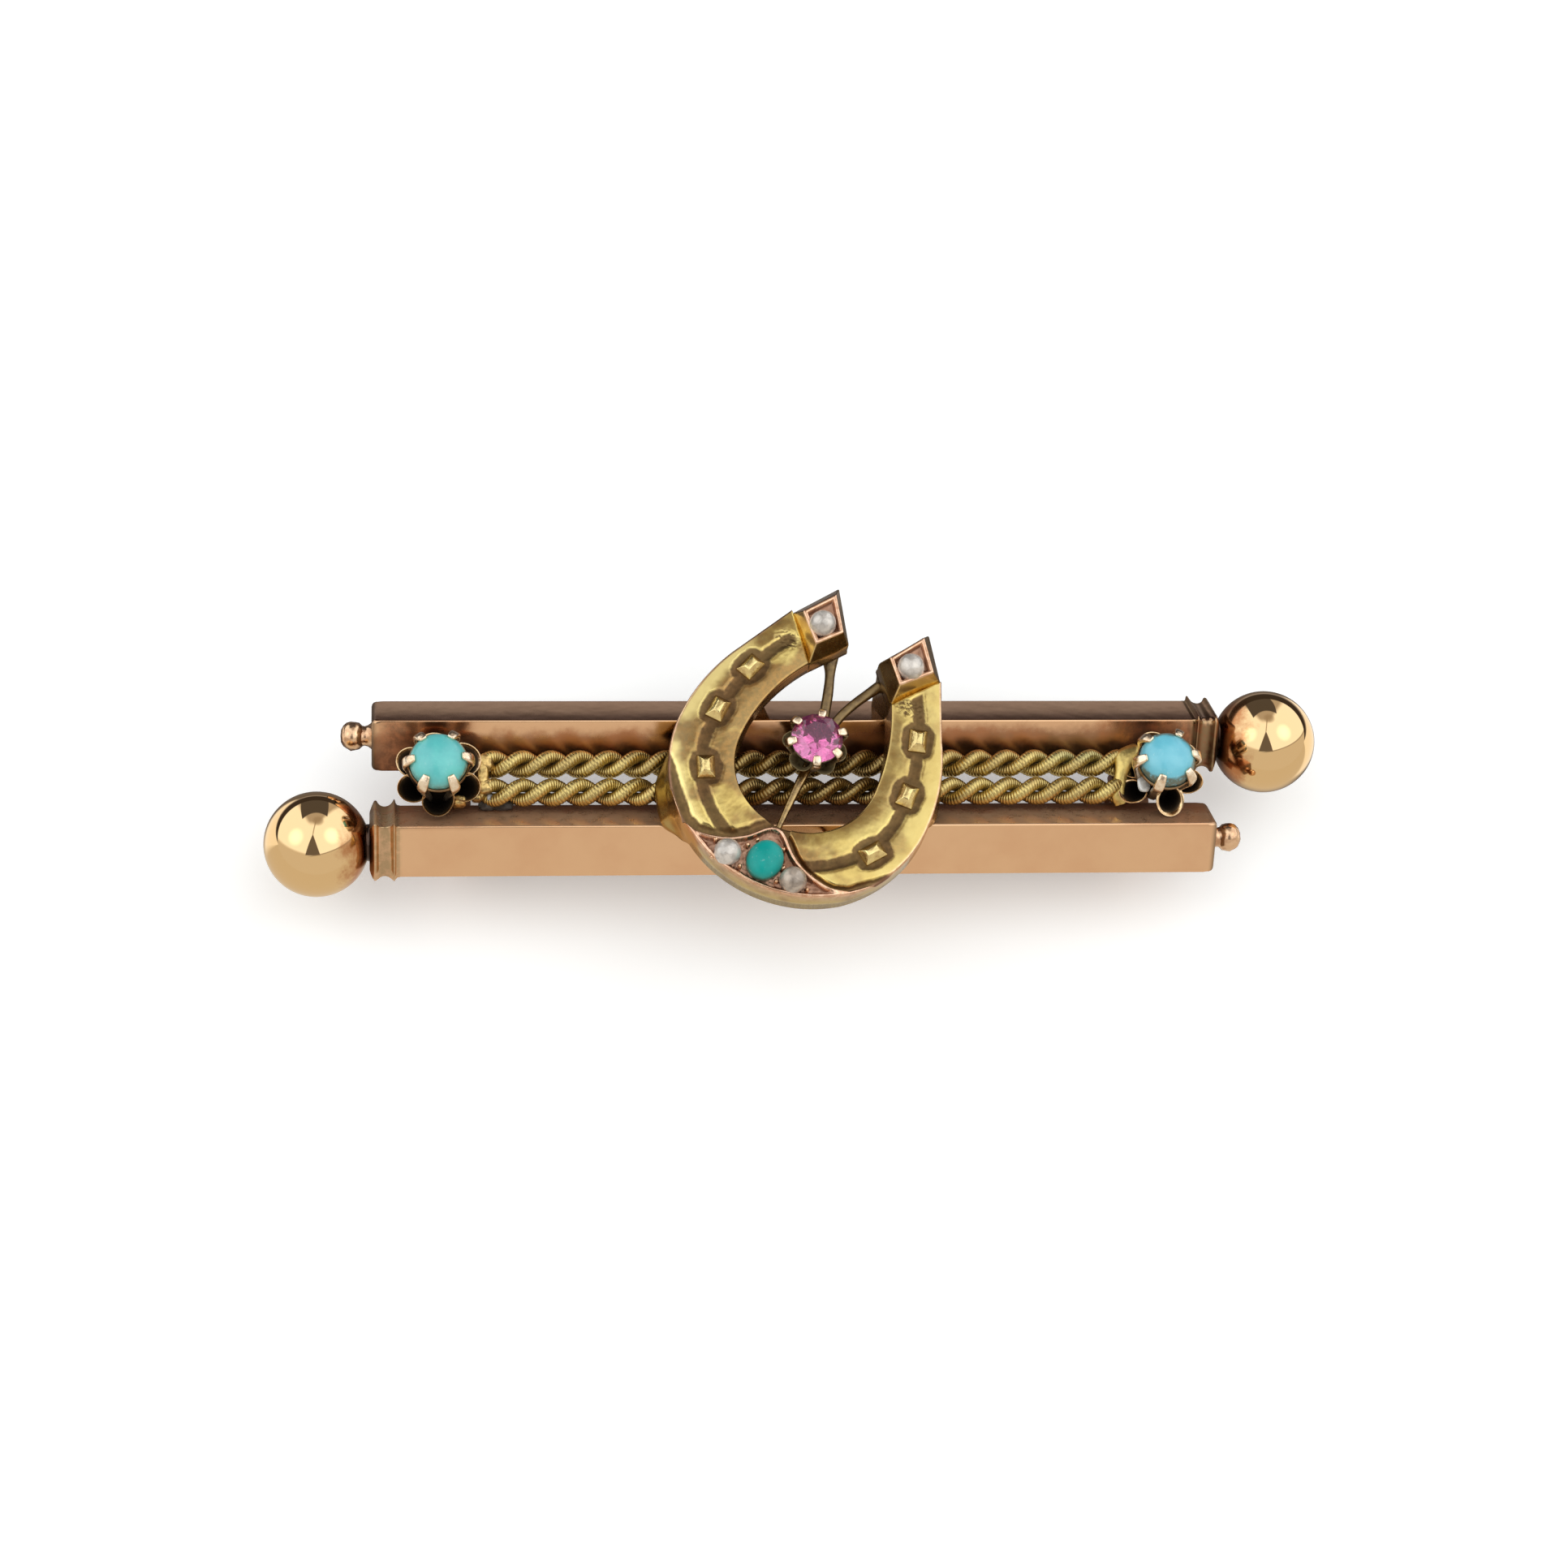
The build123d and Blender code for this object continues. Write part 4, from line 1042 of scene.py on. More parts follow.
def outward_normals(line, other):
    """Unit normals of a flat line, away from the other line."""
    step = np.gradient(line, axis=0)
    normal = np.stack([step[:, 1], -step[:, 0]], 1)
    normal /= np.linalg.norm(normal, axis=1, keepdims=True) + 1e-9
    return normal * np.sign(((line - other) * normal).sum(1))[:, None]


def wall_row(line, away, spread, top_z, level, carried):
    """Points of a wall at one level. carried is 1 where the skirt reaches down to a bar."""
    down = max(0.0, level - 1) * (SHOE_LOW - SKIRT_LOW) * carried
    share = min(1.0, level)
    z = top_z * (1 - share) + SHOE_LOW * share - down
    return np.column_stack([line + away * spread[:, None], z])


def shoe_walls(outer, inner, width, outer_top, inner_top):
    """Rows of the outer and of the inner wall. Below the wall, the skirt seats on the bars."""
    outer_x, outer_y, _ = shoe_world(np.column_stack([outer, 0 * width])).T
    inner_x, inner_y, _ = shoe_world(np.column_stack([inner, 0 * width])).T
    outer_carried, inner_carried = [soft(y, -4.2, -3.4) * soft(y, 4.4, 4.0) for y in (outer_y, inner_y)]
    # The skirt flares at the left of the lower bar and draws in under the toe and under the left heel
    at_left = soft(outer_x, 1.0, -1.0)
    flare = soft(outer_y, 1.2, -1.2) * at_left + 0.5 * (1 - at_left)
    draw_in = 1.5 * soft(outer_y, -2.4, -3.6)
    inner_draw_in = 1.1 * soft(inner_y, 1.2, 3.0) * soft(inner_x, 2.2, 1.2)
    out_normal = outward_normals(outer, inner + 1e-6)
    to_outer = (outer - inner) / np.maximum(width, 1e-6)[:, None]
    outer_wall = []
    for out, level in OUTER_WALL:
        spread = outer_carried * (out * flare - max(0.0, level - 1) * draw_in)
        outer_wall.append(wall_row(outer, out_normal, spread, outer_top, level, outer_carried))
    inner_wall = []
    for level in INNER_WALL:
        spread = max(0.0, level - 1) * inner_draw_in
        inner_wall.append(wall_row(inner, to_outer, spread, inner_top, level, inner_carried))
    return outer_wall, inner_wall


def add_shoe_band(shape):
    """The band of the horseshoe as rings across it: inner wall, face, outer wall and underside."""
    outer, inner = shoe_columns()
    columns = len(outer)
    width = np.linalg.norm(inner - outer, axis=1)
    reach = np.maximum(width, 1e-4)[:, None]
    near = EDGE_STEPS * np.minimum(1.0, reach / 0.5)
    even = np.linspace(0, 1, BAND_STEPS + 2)[1:-1]
    inside = near[:, -1:] + (reach - 2 * near[:, -1:]) * even
    shares = np.concatenate([near, inside, reach - near[:, ::-1]], 1) / reach
    across = shares.shape[1]
    flat = outer[:, None] * (1 - shares[..., None]) + inner[:, None] * shares[..., None]
    height, dark, pink = shoe_height(flat.reshape(-1, 2), outer, inner)
    top = np.column_stack([flat.reshape(-1, 2), FACE_Z + height]).reshape(columns, across, 3)
    outer_wall, inner_wall = shoe_walls(outer, inner, width, top[:, 0, 2], top[:, -1, 2])
    underside = outer_wall[-1] * 0.5 + inner_wall[-1] * 0.5
    face = list(top.transpose(1, 0, 2)[::-1])
    rows = inner_wall[::-1] + face + outer_wall + [underside]
    count = len(rows)
    points = shoe_world(np.array(rows).transpose(1, 0, 2).reshape(-1, 3))
    # The skirt leaves room for the ropes between the bars
    between = (np.abs(points[:, 1]) < BAR_Y) & (points[:, 2] < OVER_ROPES)
    points[between, 2] = OVER_ROPES
    start = len(inner_wall)
    end = start + across
    marks = {name: np.zeros((columns, count)) for name in shape.marks}
    marks["inner"][:, start:end] = np.linspace(1.0, 0.0, across)
    marks["dark"][:, start:end] = dark.reshape(columns, across)[:, ::-1]
    marks["pink"][:, start:end] = pink.reshape(columns, across)[:, ::-1]
    # The painted pink rim highlight runs over the top of the outer wall
    marks["pink"][:, end] = pink.reshape(columns, across)[:, 0] * 0.7
    # Painted wall shade, deepening towards the foot of the outer wall
    marks["side"][:, :start] = 1.0
    marks["side"][:, end:] = np.linspace(0.35, 1.0, len(outer_wall) + 1)
    faces = tube_faces(columns, count, False, False)
    shape.add(points, faces, 0, {name: value.reshape(-1) for name, value in marks.items()})


def rounded_ring(corners, z, radius, steps=4, along=3):
    """Closed ring round a polygon with rounded corners."""
    def toward(a, b):
        return a + (b - a) / np.linalg.norm(b - a) * radius

    ring = []
    for k, here in enumerate(corners):
        after = corners[(k + 1) % len(corners)]
        start = toward(here, corners[k - 1])
        end = toward(here, after)
        for t in np.arange(steps + 1) / steps:
            ring.append((1 - t) ** 2 * start + 2 * t * (1 - t) * here + t * t * end)
        for t in np.arange(1, along + 1) / (along + 1):
            ring.append(end * (1 - t) + toward(after, here) * t)
    return [(x, y, z) for x, y in ring]


def inset_polygon(corners, amount):
    """Polygon drawn in by an amount."""
    after = np.roll(corners, -1, axis=0)
    ahead = after - corners
    area = (corners[:, 0] * after[:, 1] - after[:, 0] * corners[:, 1]).sum()
    normal = np.stack([-ahead[:, 1], ahead[:, 0]], 1) / np.linalg.norm(ahead, axis=1, keepdims=True)
    normal *= np.sign(area)
    before = np.roll(normal, 1, axis=0)
    return corners + (before + normal) * amount / (1 + (before * normal).sum(1, keepdims=True))


# Height, share of the way from the foot to the kite, inset, corner radius, dark (grime and painted shade in
# the bezel), pink, side (painted wall shade)
HEEL_CAP = [
    (SHOE_LOW + 0.02, 0.0, 0.0, 0.10, 0.0, 0.0, 1.0),
    (SHOE_LOW + 0.55, 0.0, 0.0, 0.10, 0.0, 0.0, 1.0),
    (SHOE_LOW + 0.86, 0.0, 0.0, 0.10, 0.0, 0.0, 0.9),
    (SHOE_LOW + 0.98, 0.04, 0.0, 0.10, 0.0, 0.0, 0.6),
    (SHOE_LOW + 1.06, 0.10, 0.0, 0.10, 0.0, 0.2, 0.75),
    (CAP_TOP - 0.10, 0.92, 0.0, 0.07, 0.0, 0.35, 0.75),
    (CAP_TOP - 0.03, 0.985, 0.0, 0.07, 0.0, 1.0, 0.0),
    (CAP_TOP, 1.0, 0.03, 0.06, 0.0, 1.0, 0.0),
    (CAP_TOP, 1.0, 0.13, 0.05, 0.0, 1.0, 0.0),
    (CAP_TOP - 0.03, 1.0, 0.165, 0.05, 0.1, 1.0, 0.0),
    (CAP_TOP - 0.19, 1.0, 0.22, 0.05, 0.85, 1.0, 0.0),
    (CAP_TOP - 0.25, 1.0, 0.30, 0.05, 0.85, 1.0, 0.0),
    (CAP_TOP - 0.25, 1.0, 0.55, 0.03, 0.8, 1.0, 0.0),
]
KITE = [(1.24, 6.85), (2.3, 8.52), (3.38, 7.05), (2.18, 5.78)]
# Height above the face, half width, half length, corner radius, dark
NAIL_HEAD = [
    (-0.30, 0.42, 0.57, 0.05, 0.9), (-0.16, 0.43, 0.58, 0.05, 0.6), (-0.02, 0.42, 0.57, 0.05, 0.05),
    (0.03, 0.40, 0.55, 0.045, 0.0), (0.27, 0.17, 0.31, 0.03, 0.0), (0.30, 0.14, 0.28, 0.03, 0.0),
    (0.315, 0.09, 0.22, 0.03, 0.0),
]
# Place and size of the grains that hold the stones of the toe
GRAINS = [
    (-2.36, -5.02, 0.13), (-2.18, -5.86, 0.10), (-0.92, -4.62, 0.12), (-0.86, -5.72, 0.11),
    (0.62, -4.15, 0.14), (0.98, -4.98, 0.13), (0.95, -5.72, 0.11), (2.28, -4.86, 0.11),
    (2.38, -5.50, 0.12), (-0.62, -4.20, 0.10),
]


def add_heel_cap(shape, side):
    """Raised cap on a heel, with a bezel for its pearl."""
    outer_foot = heel_point(side, FOOT_OUT + 0.8 * HEEL_WEAR[side]["corner"][0], FOOT_UP)
    inner, tip, root = [heel_place(side, name) for name in ("inner", "tip", "root")]
    foot = np.array([inner, tip, outer_foot, root])
    kite = np.array([heel_point(side, out, up) for out, up in KITE])
    rings = []
    for z, way, inset, radius, *_ in HEEL_CAP:
        rings += rounded_ring(inset_polygon(foot * (1 - way) + kite * way, inset), z, radius)
    count = len(rings) // len(HEEL_CAP)
    dark, pink, wall = [np.repeat(values, count) for values in list(zip(*HEEL_CAP))[4:]]
    # The facet towards the nails is mostly kept out of the painted wall shade and stays yellow
    polished = np.arange(2 * count // 4 + 3, 3 * count // 4 + 3) % count
    wall.reshape(-1, count)[:, polished] *= 0.15
    faces = tube_faces(len(HEEL_CAP), count, False, True, side > 0)
    shape.add(shoe_world(rings), faces, 0, {"dark": dark, "pink": pink, "side": wall})


def add_nail(shape, x, y, turn, seed):
    """Nail head: a block with a hipped top, a little uneven."""
    random = np.random.default_rng(seed)
    lean = random.uniform(-0.05, 0.05, 2)
    c = math.cos(turn)
    s = math.sin(turn)
    rings = []
    for z, half_x, half_y, radius, _ in NAIL_HEAD:
        corners = np.array([(-1, -1), (1, -1), (1, 1), (-1, 1)]) * (half_x, half_y) + lean * max(0.0, z) * 3
        ring = rounded_ring(corners, FACE_Z + z, radius, 3, 2)
        rings.append(shoe_world([(x + a * c - b * s, y + a * s + b * c, h) for a, b, h in ring]))
    shape.rings(rings, 1, [row[-1] for row in NAIL_HEAD], False)


def make_horseshoe(gold, bright):
    shape = Shape()
    add_shoe_band(shape)
    for side in (-1, 1):
        add_heel_cap(shape, side)
    for k, (x, y, turn) in enumerate(nail_places()):
        add_nail(shape, x, y, turn, 20 + k)
    for x, y, size in GRAINS:
        place = shoe_world([(x, y, CLIP_TOP - 0.16)])[0]
        sizes = (size, size, size * 1.3)
        add_lump(shape, place, sizes, 6, 10, 1.0, size * 1.17, int(abs(x) * 100), 0.2, pink=0.9)
    piece = shape.make("horseshoe_dressed", [gold, bright])
    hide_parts("horseshoe")


# Flower settings
FLOWER_X = 17.08
FLOWER_LOW = AXIS_Z + 0.5
FLOWER_RIM = AXIS_Z + 1.75
STONE_SEAT = AXIS_Z + 2.72
STONE_RADIUS = 1.325
STONE_GIRDLE = STONE_SEAT + 0.5
PETAL_SIDES = 30
# Share of the petal's height, and tarnish
PETAL_OUTSIDE = [(0.0, 0.95), (0.25, 0.92), (0.5, 0.85), (0.75, 0.72), (0.90, 0.5), (0.985, 0.0)]
PETAL_INSIDE = [(0.985, 0.0), (0.93, 0.85), (0.8, 1.0), (0.55, 1.0), (0.3, 1.0), (0.12, 1.0)]
PETAL = {"reach": 2.06, "radius": 0.70, "wall": 0.07, "rise": 0.0, "drop": 0.0, "out": 0.0, "slide": 0.0}
RUBY_PETAL = {**PETAL, "reach": 1.50, "radius": 0.52, "wall": 0.06}
# How single petals differ, by their place in the round
LEFT_BENDS = {0: {"radius": 0.84, "out": 0.10}, 4: {"radius": 0.72, "out": 0.03}, 5: {"out": 0.03}}
RIGHT_BENDS = {
    3: {
        "reach": 2.20, "radius": 0.60, "wall": 0.09, "rise": -0.06,
        "drop": 0.18, "out": 0.10, "slide": -0.14,
    },
    4: {"out": 0.10, "drop": 0.62, "radius": 0.66, "rise": 0.28, "wall": 0.15},
    5: {"out": -0.04, "radius": 0.66},
}
# Directions of the claws, in degrees
LEFT_CLAWS = [4, 60, 126, 183, 240, 300]
RIGHT_CLAWS = [5, 63, 136, 187, 250, 315]
RUBY_CLAWS = [11, 77, 138, 188, 267, 317]
# Reach, height, and share of the width and of the thickness
FLOWER_CLAW = [
    (0.96, FLOWER_RIM - 0.9, 1.0, 1.1), (1.14, FLOWER_RIM, 1.0, 1.1), (1.42, STONE_SEAT, 1.0, 1.1),
    (1.52, STONE_GIRDLE - 0.15, 1.1, 1.1), (1.50, STONE_GIRDLE + 0.12, 1.15, 1.05),
    (1.34, STONE_GIRDLE + 0.38, 1.05, 0.95), (1.10, STONE_GIRDLE + 0.60, 0.78, 0.6),
]
# Height, radius and tarnish
FLOWER_COLLET = [
    (FLOWER_LOW - 0.02, 0.80, 0.9), (FLOWER_RIM - 0.3, 0.86, 0.9), (FLOWER_RIM + 0.2, 0.94, 0.75),
    (STONE_SEAT - 0.25, 1.12, 0.8), (STONE_SEAT - 0.02, 1.31, 0.62), (STONE_SEAT + 0.14, 1.40, 0.5),
    (STONE_SEAT + 0.30, 1.415, 0.5), (STONE_SEAT + 0.36, 1.37, 0.6), (STONE_SEAT + 0.1, 1.22, 0.9),
]
# Solder that holds the ends of the ropes: place, size, material and tarnish
LEFT_SOLDER = [
    ((-15.12, 0.0, 5.5), (0.26, 1.05, 0.34), 2, 0.3),
    ((-14.86, 0.66, 5.86), (0.36, 0.42, 0.30), 2, 0.0),
    ((-14.88, -0.52, 5.84), (0.36, 0.40, 0.28), 2, 0.0),
    ((-15.02, 0.06, 5.88), (0.28, 0.66, 0.26), 2, 0.0),
    ((-15.30, -1.04, 5.62), (0.24, 0.16, 0.28), 2, 0.3),
    ((-16.10, -1.26, 5.74), (0.32, 0.26, 0.38), 2, 0.1),
    ((-14.62, -0.98, 5.52), (0.20, 0.18, 0.16), 3, 0.3),
    ((-14.75, -1.12, 5.0), (0.46, 0.26, 0.32), 3, 0.93),
    ((-14.05, -1.15, 4.94), (0.50, 0.20, 0.26), 3, 0.95),
]
# Smooth yellow sheet bent over the ends of the ropes: place, half width and half thickness
RIGHT_SHEET = [
    (15.96, 1.50, 5.62, 0.26, 0.16), (15.70, 1.18, 6.00, 0.50, 0.20), (15.44, 0.72, 6.12, 0.56, 0.22),
    (15.24, 0.14, 6.04, 0.36, 0.22), (15.10, -0.42, 5.84, 0.32, 0.22), (15.00, -0.95, 5.66, 0.34, 0.20),
    (15.16, -1.36, 5.42, 0.28, 0.14),
]


def polar(centre, angle, reach, z):
    return Vector((centre[0] + reach * math.cos(angle), centre[1] + reach * math.sin(angle), z))


def petal_ring(centre, angle, foot, low_z, rim_z, petal, wave, share, inward, lift):
    """Ring of a petal at a share of its height. foot holds its reach and its radius low down."""
    radius = foot[1] + (petal["radius"] - foot[1]) * (0.7 * share + 0.3 * share * share)
    radius += 0.05 * share ** 6 - inward
    low_reach = foot[0] - foot[1]
    high_reach = petal["reach"] - petal["radius"] + petal["out"]
    reach = low_reach + (high_reach - low_reach) * share
    height = low_z + (rim_z + petal["rise"] - low_z) * share + lift
    across = Vector((-math.sin(angle), math.cos(angle), 0))
    ring = []
    for k in range(PETAL_SIDES):
        turn = TAU * k / PETAL_SIDES
        wobble = wave[0] * math.sin(2 * turn) + wave[1] * math.cos(3 * turn + wave[2])
        r = max(radius + 0.035 * share ** 2 * wobble, 0.02)
        dip = petal["drop"] * share ** 2 * (0.5 + 0.5 * math.cos(turn))
        rise = wave[3] * 0.04 * share ** 2 * math.sin(turn)
        place = polar(centre, angle, reach + r * math.cos(turn), height - dip + rise)
        ring.append(place + across * (r * math.sin(turn) + petal["slide"] * share))
    return ring


def add_petal(shape, centre, angle, foot, low_z, rim_z, petal, seed, tarnish=1.0):
    """Open cup that leans outwards, with a rolled rim."""
    random = np.random.default_rng(seed)
    wave = random.uniform(-1, 1, 4)
    wall = petal["wall"]
    rows = [(share, 0.0, 0.0, shade) for share, shade in PETAL_OUTSIDE]
    rows += [(1.0, 0.018, 0.012, 0.0), (1.0, wall - 0.018, 0.012, 0.0)]
    rows += [(share, wall, 0.0, shade) for share, shade in PETAL_INSIDE]
    rings = [petal_ring(centre, angle, foot, low_z, rim_z, petal, wave, *row[:3]) for row in rows]
    shape.rings(rings, 0, [row[3] * tarnish for row in rows], False)


def petal_angles(claws):
    """Directions midway between the claws."""
    for k, start in enumerate(claws):
        span = (claws[(k + 1) % len(claws)] - start) % 360
        yield math.radians(start + span / 2)


def add_claw(shape, centre, degrees, rows, width, thick, seed):
    """Bent claw with a rounded tip, darker at its foot."""
    random = np.random.default_rng(seed)
    rows = smooth_line(rows, 4)
    turn = math.radians(degrees) + random.uniform(-0.03, 0.03)
    across = Vector((-math.sin(turn), math.cos(turn), 0))
    path = [polar(centre, turn, reach, z) for reach, z, _, _ in rows]
    sizes = [(width * w / 2, thick * t / 2) for _, _, w, t in rows]
    rings = sweep_rings(path, across, sizes, 3.4, 16)
    tip = path[-1] + (path[-1] - path[-2]).normalized() * 0.03
    rings.append([tip + (point - path[-1]) * 0.55 for point in rings[-1]])
    count = len(rings)
    shape.rings(rings, 1, [0.75 * max(0.0, 1 - k / (count * 0.42)) for k in range(count)])


def add_collet(shape, centre, rows):
    """Round seat of a stone."""
    angles = [TAU * k / 48 for k in range(48)]
    rings = [[polar(centre, angle, radius, z) for angle in angles] for z, radius, shade in rows]
    shape.rings(rings, 0, [shade for z, radius, shade in rows])


def add_flower(shape, side, claws, bends):
    centre = (side * FLOWER_X, 0.0)
    for k, angle in enumerate(petal_angles(claws)):
        petal = {**PETAL, **bends.get(k, {})}
        add_petal(shape, centre, angle, (1.0, 0.36), FLOWER_LOW, FLOWER_RIM, petal, 40 + k + 10 * side)
    add_collet(shape, centre, FLOWER_COLLET)
    for k, degrees in enumerate(claws):
        add_claw(shape, centre, degrees, FLOWER_CLAW, 0.44, 0.28, 60 + k + 7 * side)


def add_solder(shape, place, size, seed, kind, dark, rough=0.12, grain=0.4, count=36):
    add_lump(shape, place, size, count * 2 // 3, count, 0.7, grain, seed, rough, kind, dark, 0.5)


def make_flower_left(materials):
    shape = Shape()
    add_flower(shape, -1, LEFT_CLAWS, LEFT_BENDS)
    for k, (place, size, kind, dark) in enumerate(LEFT_SOLDER):
        add_solder(shape, place, size, 3 + k, kind, dark)
    piece = shape.make("flower_left_dressed", materials, 60)
    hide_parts("flower_left")


def make_flower_right(materials):
    shape = Shape()
    add_flower(shape, 1, RIGHT_CLAWS, RIGHT_BENDS)
    add_solder(shape, (15.50, 0.25, 5.45), (0.30, 0.75, 0.34), 8, 2, 0.4, 0.12, 0.5)
    shape.sweep(smooth_line(RIGHT_SHEET, 6), (1.0, 0.1, 0.35), 2, 0.0, 2.1, 20)
    # Spot of grey solder in the petal beside it
    add_solder(shape, (16.20, -0.62, 6.14), (0.30, 0.40, 0.14), 12, 3, 0.0, 0.06, 0.8, 24)
    piece = shape.make("flower_right_dressed", materials, 60)
    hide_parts("flower_right")


# Ruby and its setting
RUBY_PLACE = (0.47, 0.97)
RUBY_TURN = math.radians(7)
RUBY_RADIUS = 1.225
RUBY_GIRDLE = AXIS_Z + 3.6
RUBY_CROWN = 0.34
RUBY_TABLE = 0.72
RUBY_PAVILION = 0.85
BASKET_LOW = AXIS_Z + 1.93
BASKET_RIM = AXIS_Z + 2.72
RUBY_CLAW = [
    (0.95, RUBY_GIRDLE - 1.5, 1.0, 1.0), (1.12, RUBY_GIRDLE - 0.9, 1.0, 1.0),
    (1.32, RUBY_GIRDLE - 0.35, 1.0, 1.0),
    (1.40, RUBY_GIRDLE - 0.10, 1.05, 1.0), (1.36, RUBY_GIRDLE + 0.10, 1.1, 1.0),
    (1.22, RUBY_GIRDLE + 0.20, 1.1, 0.9), (1.02, RUBY_GIRDLE + 0.26, 0.85, 0.6),
]
RUBY_COLLET = [
    (BASKET_LOW - 0.02, 0.72, 0.9), (BASKET_RIM - 0.2, 0.80, 0.9), (BASKET_RIM + 0.2, 0.92, 0.8),
    (RUBY_GIRDLE - 0.35, 1.12, 0.6), (RUBY_GIRDLE - 0.12, 1.22, 0.5), (RUBY_GIRDLE - 0.10, 1.18, 0.6),
    (RUBY_GIRDLE - 0.45, 0.90, 0.9), (BASKET_LOW + 0.2, 0.70, 1.0),
]
# Wire stays to the horseshoe: tarnish, then places, half widths and half thicknesses
STAYS = [
    (0.5, [
        (0.88, 1.78, 6.75, 0.26, 0.17), (1.00, 2.5, 6.9, 0.25, 0.16), (1.22, 3.6, 7.02, 0.25, 0.16),
        (1.36, 4.6, 7.12, 0.24, 0.16), (1.40, 5.4, 7.25, 0.40, 0.2),
    ]),
    (0.45, [
        (1.15, 1.75, 6.75, 0.22, 0.15), (1.77, 2.52, 6.9, 0.23, 0.16), (2.45, 3.12, 7.0, 0.23, 0.16),
        (3.05, 3.56, 7.05, 0.24, 0.16), (3.66, 3.98, 7.1, 0.27, 0.2),
    ]),
    (0.0, [
        (0.25, 0.3, 6.55, 0.25, 0.17), (-0.42, -0.98, 6.62, 0.21, 0.15), (-1.0, -2.18, 6.62, 0.16, 0.13),
        (-1.58, -3.42, 6.6, 0.12, 0.12),
    ]),
]


def make_ruby_setting(materials):
    shape = Shape()
    for k, angle in enumerate(petal_angles(RUBY_CLAWS)):
        add_petal(shape, RUBY_PLACE, angle, (0.95, 0.33), BASKET_LOW, BASKET_RIM, RUBY_PETAL, 80 + k, 0.1)
    add_collet(shape, RUBY_PLACE, RUBY_COLLET)
    for k, degrees in enumerate(RUBY_CLAWS):
        add_claw(shape, RUBY_PLACE, degrees, RUBY_CLAW, 0.38, 0.24, 90 + k)
    for dark, rows in STAYS:
        across = (rows[-1][1] - rows[0][1], rows[0][0] - rows[-1][0], 0)
        shape.sweep(smooth_line(rows, 6), across, 2, dark, 2.4, 16)
    piece = shape.make("ruby_setting_dressed", materials, 60)
    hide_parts("ruby_setting")


def make_ruby(glass):
    """Round brilliant: octagonal table, star, kite and girdle facets, and a pointed pavilion."""
    points = []

    def ring(count, radius, z, shift=0.0):
        angles = [RUBY_TURN + TAU * (k + shift) / count for k in range(count)]
        points.extend(polar(RUBY_PLACE, angle, radius, RUBY_GIRDLE + z) for angle in angles)
        return len(points) - count

    table = ring(8, RUBY_TABLE, RUBY_CROWN)
    star = ring(8, 0.985, 0.21, 0.5)
    girdle = ring(16, RUBY_RADIUS, 0.03)
    under = ring(16, RUBY_RADIUS, -0.03)
    lower = ring(8, 0.55, -0.48, 0.5)
    culet = ring(8, 0.12, -RUBY_PAVILION)
    faces = [[table + k for k in range(8)], [culet + k for k in range(8)][::-1]]
    for k in range(8):
        after = (k + 1) % 8
        here, mid, end = 2 * k, 2 * k + 1, (2 * k + 2) % 16
        faces += [
            [table + k, star + k, table + after],
            [table + k, star + (k - 1) % 8, girdle + here, star + k],
            [star + k, girdle + here, girdle + mid],
            [star + k, girdle + mid, girdle + end],
            [girdle + here, under + here, under + mid, girdle + mid],
            [girdle + mid, under + mid, under + end, girdle + end],
            [under + here, lower + k, under + mid],
            [under + mid, lower + k, under + end],
            [under + here, culet + k, lower + k],
            [under + end, lower + k, culet + after],
            [lower + k, culet + k, culet + after],
        ]
    piece = build("ruby_dressed", points, faces, [glass], smooth=False)
    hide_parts("ruby")


def make_cabochon(name, centre, half_x, half_y, heights, material, turn, seed, paler=None):
    """Domed stone. heights holds its foot, its girdle and its top."""
    low_z, girdle_z, top_z = heights
    rows = [(low_z, 0.90, 0.9), (low_z + 0.08, 0.97, 0.9)]
    rows += [(girdle_z - 0.15, 1.0, 0.8), (girdle_z, 1.0, 0.6)]
    for share in np.arange(1, 17) / 16:
        angle = TAU / 4 * share
        z = girdle_z + (top_z - girdle_z) * math.sin(angle)
        rows.append((z, max(math.cos(angle), 0.004), 0.85 * (1 - share) ** 5))
    count = 56
    c = math.cos(turn)
    s = math.sin(turn)
    points = []
    for z, wide, _ in rows:
        for angle in TAU * np.arange(count) / count:
            a = half_x * wide * math.cos(angle)
            b = half_y * wide * math.sin(angle)
            points.append((centre[0] + a * c - b * s, centre[1] + a * s + b * c, z))
    marks = np.repeat([row[2] for row in rows], count)
    points = np.array(points)
    middle = np.array((centre[0], centre[1], low_z))
    points = middle + (points - middle) * (1 + 0.02 * lumps(points, 1.1, seed, 2)[:, None])
    if paler:
        # Old dirt leaves only an oval of the stone clean, as seen in the photo
        x, y, z = (points - (centre[0], centre[1], girdle_z)).T
        seen = np.column_stack([x + 0.10, 0.925 * y + 0.38 * (z - 0.35)])
        far = oval(seen, 0.0, 0.0, *paler) + 0.05 * lumps(points, 0.3, seed + 1)
        marks = np.maximum(marks, soft(far, 0.93, 1.05))
    faces = tube_faces(len(rows), count)
    piece = build(name + "_dressed", points, faces, [material], {"dark": marks})
    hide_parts(name)


def make_pearl_piece(name, flat, z, radius, seed, nacre):
    shape = Shape()
    place = shoe_world([(*flat, z)])[0]
    add_lump(shape, place, (radius, radius, radius), 20, 40, 1.0, radius * 0.9, seed, 0.025)
    piece = shape.make(name + "_dressed", [nacre])
    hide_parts(name)


scene.view_settings.view_transform = "Standard"
scene.view_settings.look = "None"
make_camera()
make_world()
make_floor()

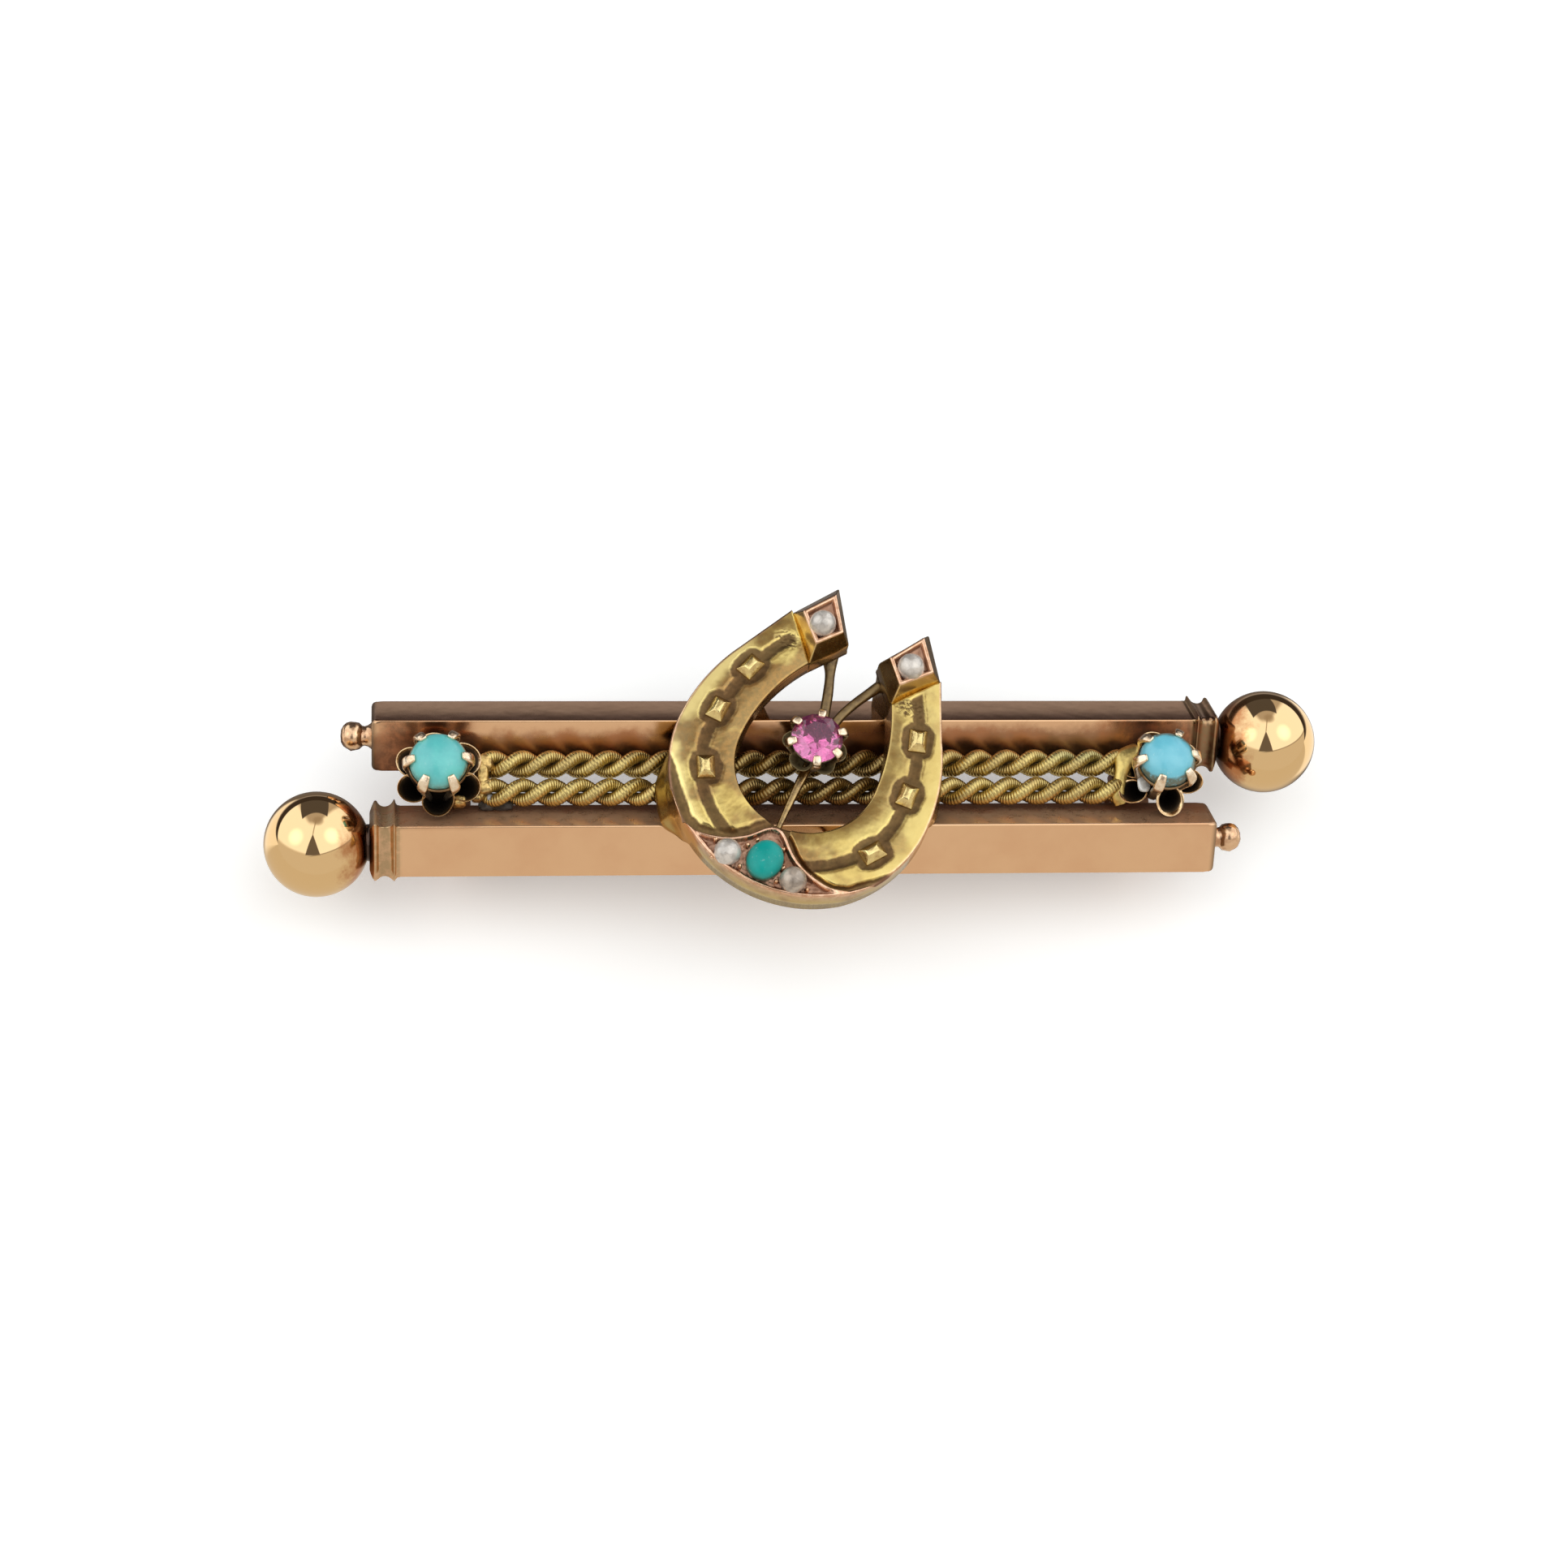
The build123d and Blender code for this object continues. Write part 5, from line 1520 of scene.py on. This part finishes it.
rose = make_rose()
rope_gold = make_rope_gold()
shoe_gold = make_shoe_gold()
nail_gold = make_bright_gold("nail_gold", ((0.86, 0.68, 0.30), (0.60, 0.42, 0.18)))
claw_gold = make_bright_gold("claw_gold", ((0.98, 0.82, 0.62), (0.80, 0.56, 0.36)), 0.2)
petal_gold = make_bright_gold("petal_gold", ((0.84, 0.60, 0.34), (0.48, 0.29, 0.15)))
solder_gold = make_bright_gold("solder_gold", ((0.78, 0.55, 0.21), (0.50, 0.30, 0.11)), 0.26, 0.9)
sheet_gold = make_bright_gold("sheet_gold", ((0.66, 0.50, 0.17), (0.44, 0.32, 0.11)), 0.3, 0.4)
basket_gold = make_bright_gold("basket_gold", ((0.44, 0.34, 0.17), (0.26, 0.20, 0.10)), 0.35, 0.25, 0.5)
stay_gold = make_bright_gold("stay_gold", ((0.40, 0.27, 0.12), (0.20, 0.13, 0.07)))
grey_solder = make_bright_gold("grey_solder", ((0.80, 0.81, 0.80), (0.66, 0.66, 0.65)), 0.4, 0.6, 0.3)
turquoise = make_turquoise("turquoise", ((0.13, 0.60, 0.57), (0.10, 0.50, 0.50)))
blue_turquoise = make_turquoise("blue_turquoise", ((0.17, 0.57, 0.70), (0.12, 0.50, 0.64)))
deep_turquoise = make_turquoise("deep_turquoise", ((0.004, 0.36, 0.32), (0.003, 0.29, 0.26)), 0.2, 0.0)
pearl = make_pearl("pearl", ((0.72, 0.66, 0.60), (0.42, 0.385, 0.35)))
brown_pearl = make_pearl("brown_pearl", ((0.50, 0.41, 0.33), (0.25, 0.20, 0.16)))
ruby_glass = make_ruby_glass()

# Solids that no piece replaces show as they are. The first word found in the name tells the material.
CAD_MATERIALS = [
    ("turquoise", turquoise), ("pearl", pearl), ("ruby_setting", claw_gold), ("ruby", ruby_glass),
    ("bar", rose), ("pin", rose), ("", claw_gold),
]
for name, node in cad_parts.items():
    node.data.materials.clear()
    node.data.materials.append(next(made for word, made in CAD_MATERIALS if word in name))

bar_materials = [rose, make_ball_gold(), make_bead_gold()]
lower_bar = make_bar_piece("lower_bar_dressed", -1, 19.6, 0.14, 0.0, bar_materials)
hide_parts("lower_bar")
upper_bar = make_bar_piece("upper_bar_dressed", 1, 20.15, 0.38, 0.28, bar_materials)
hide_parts("upper_bar")
for rope, side in (("upper", 1), ("lower", -1)):
    for letter, second in (("a", 0), ("b", 1)):
        node_name = "rope_" + rope + "_strand_" + letter
        strand = make_strand(node_name + "_dressed", side, second, rope_gold)
        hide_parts(node_name)
make_horseshoe(shoe_gold, nail_gold)
make_flower_left([petal_gold, claw_gold, solder_gold, grey_solder])
make_flower_right([petal_gold, claw_gold, sheet_gold, grey_solder])
make_ruby_setting([basket_gold, claw_gold, stay_gold])
make_ruby(ruby_glass)

stone_heights = (STONE_SEAT, STONE_GIRDLE, STONE_GIRDLE + 0.92)
flower_stones = [
    ("turquoise_left", -1, turquoise, 3, (1.42, 1.36)),
    ("turquoise_right", 1, blue_turquoise, 9, (1.24, 1.04)),
]
for name, side, stone, seed, paler in flower_stones:
    place = (side * FLOWER_X, 0.0)
    make_cabochon(name, place, STONE_RADIUS, STONE_RADIUS, stone_heights, stone, 0.0, seed, paler)
toe_place = shoe_world([(0.08, -5.0, 0.0)])[0]
toe_heights = (CLIP_TOP - 0.38, CLIP_TOP - 0.05, CLIP_TOP + 0.48)
make_cabochon("turquoise_toe", toe_place, 0.84, 0.98, toe_heights, deep_turquoise, -SHOE_TURN, 5)
pearls = [
    ("pearl_tip_left", heel_point(-1, 2.3, 6.85), CAP_TOP - 0.06, 0.64, pearl),
    ("pearl_tip_right", heel_point(1, 2.3, 6.85), CAP_TOP - 0.06, 0.64, pearl),
    ("pearl_toe_left", (-1.62, -5.38), CLIP_TOP - 0.02, 0.63, pearl),
    ("pearl_toe_right", (1.62, -5.38), CLIP_TOP - 0.02, 0.63, brown_pearl),
]
for k, (name, flat, z, radius, nacre) in enumerate(pearls):
    make_pearl_piece(name, flat, z, radius, 31 + k, nacre)
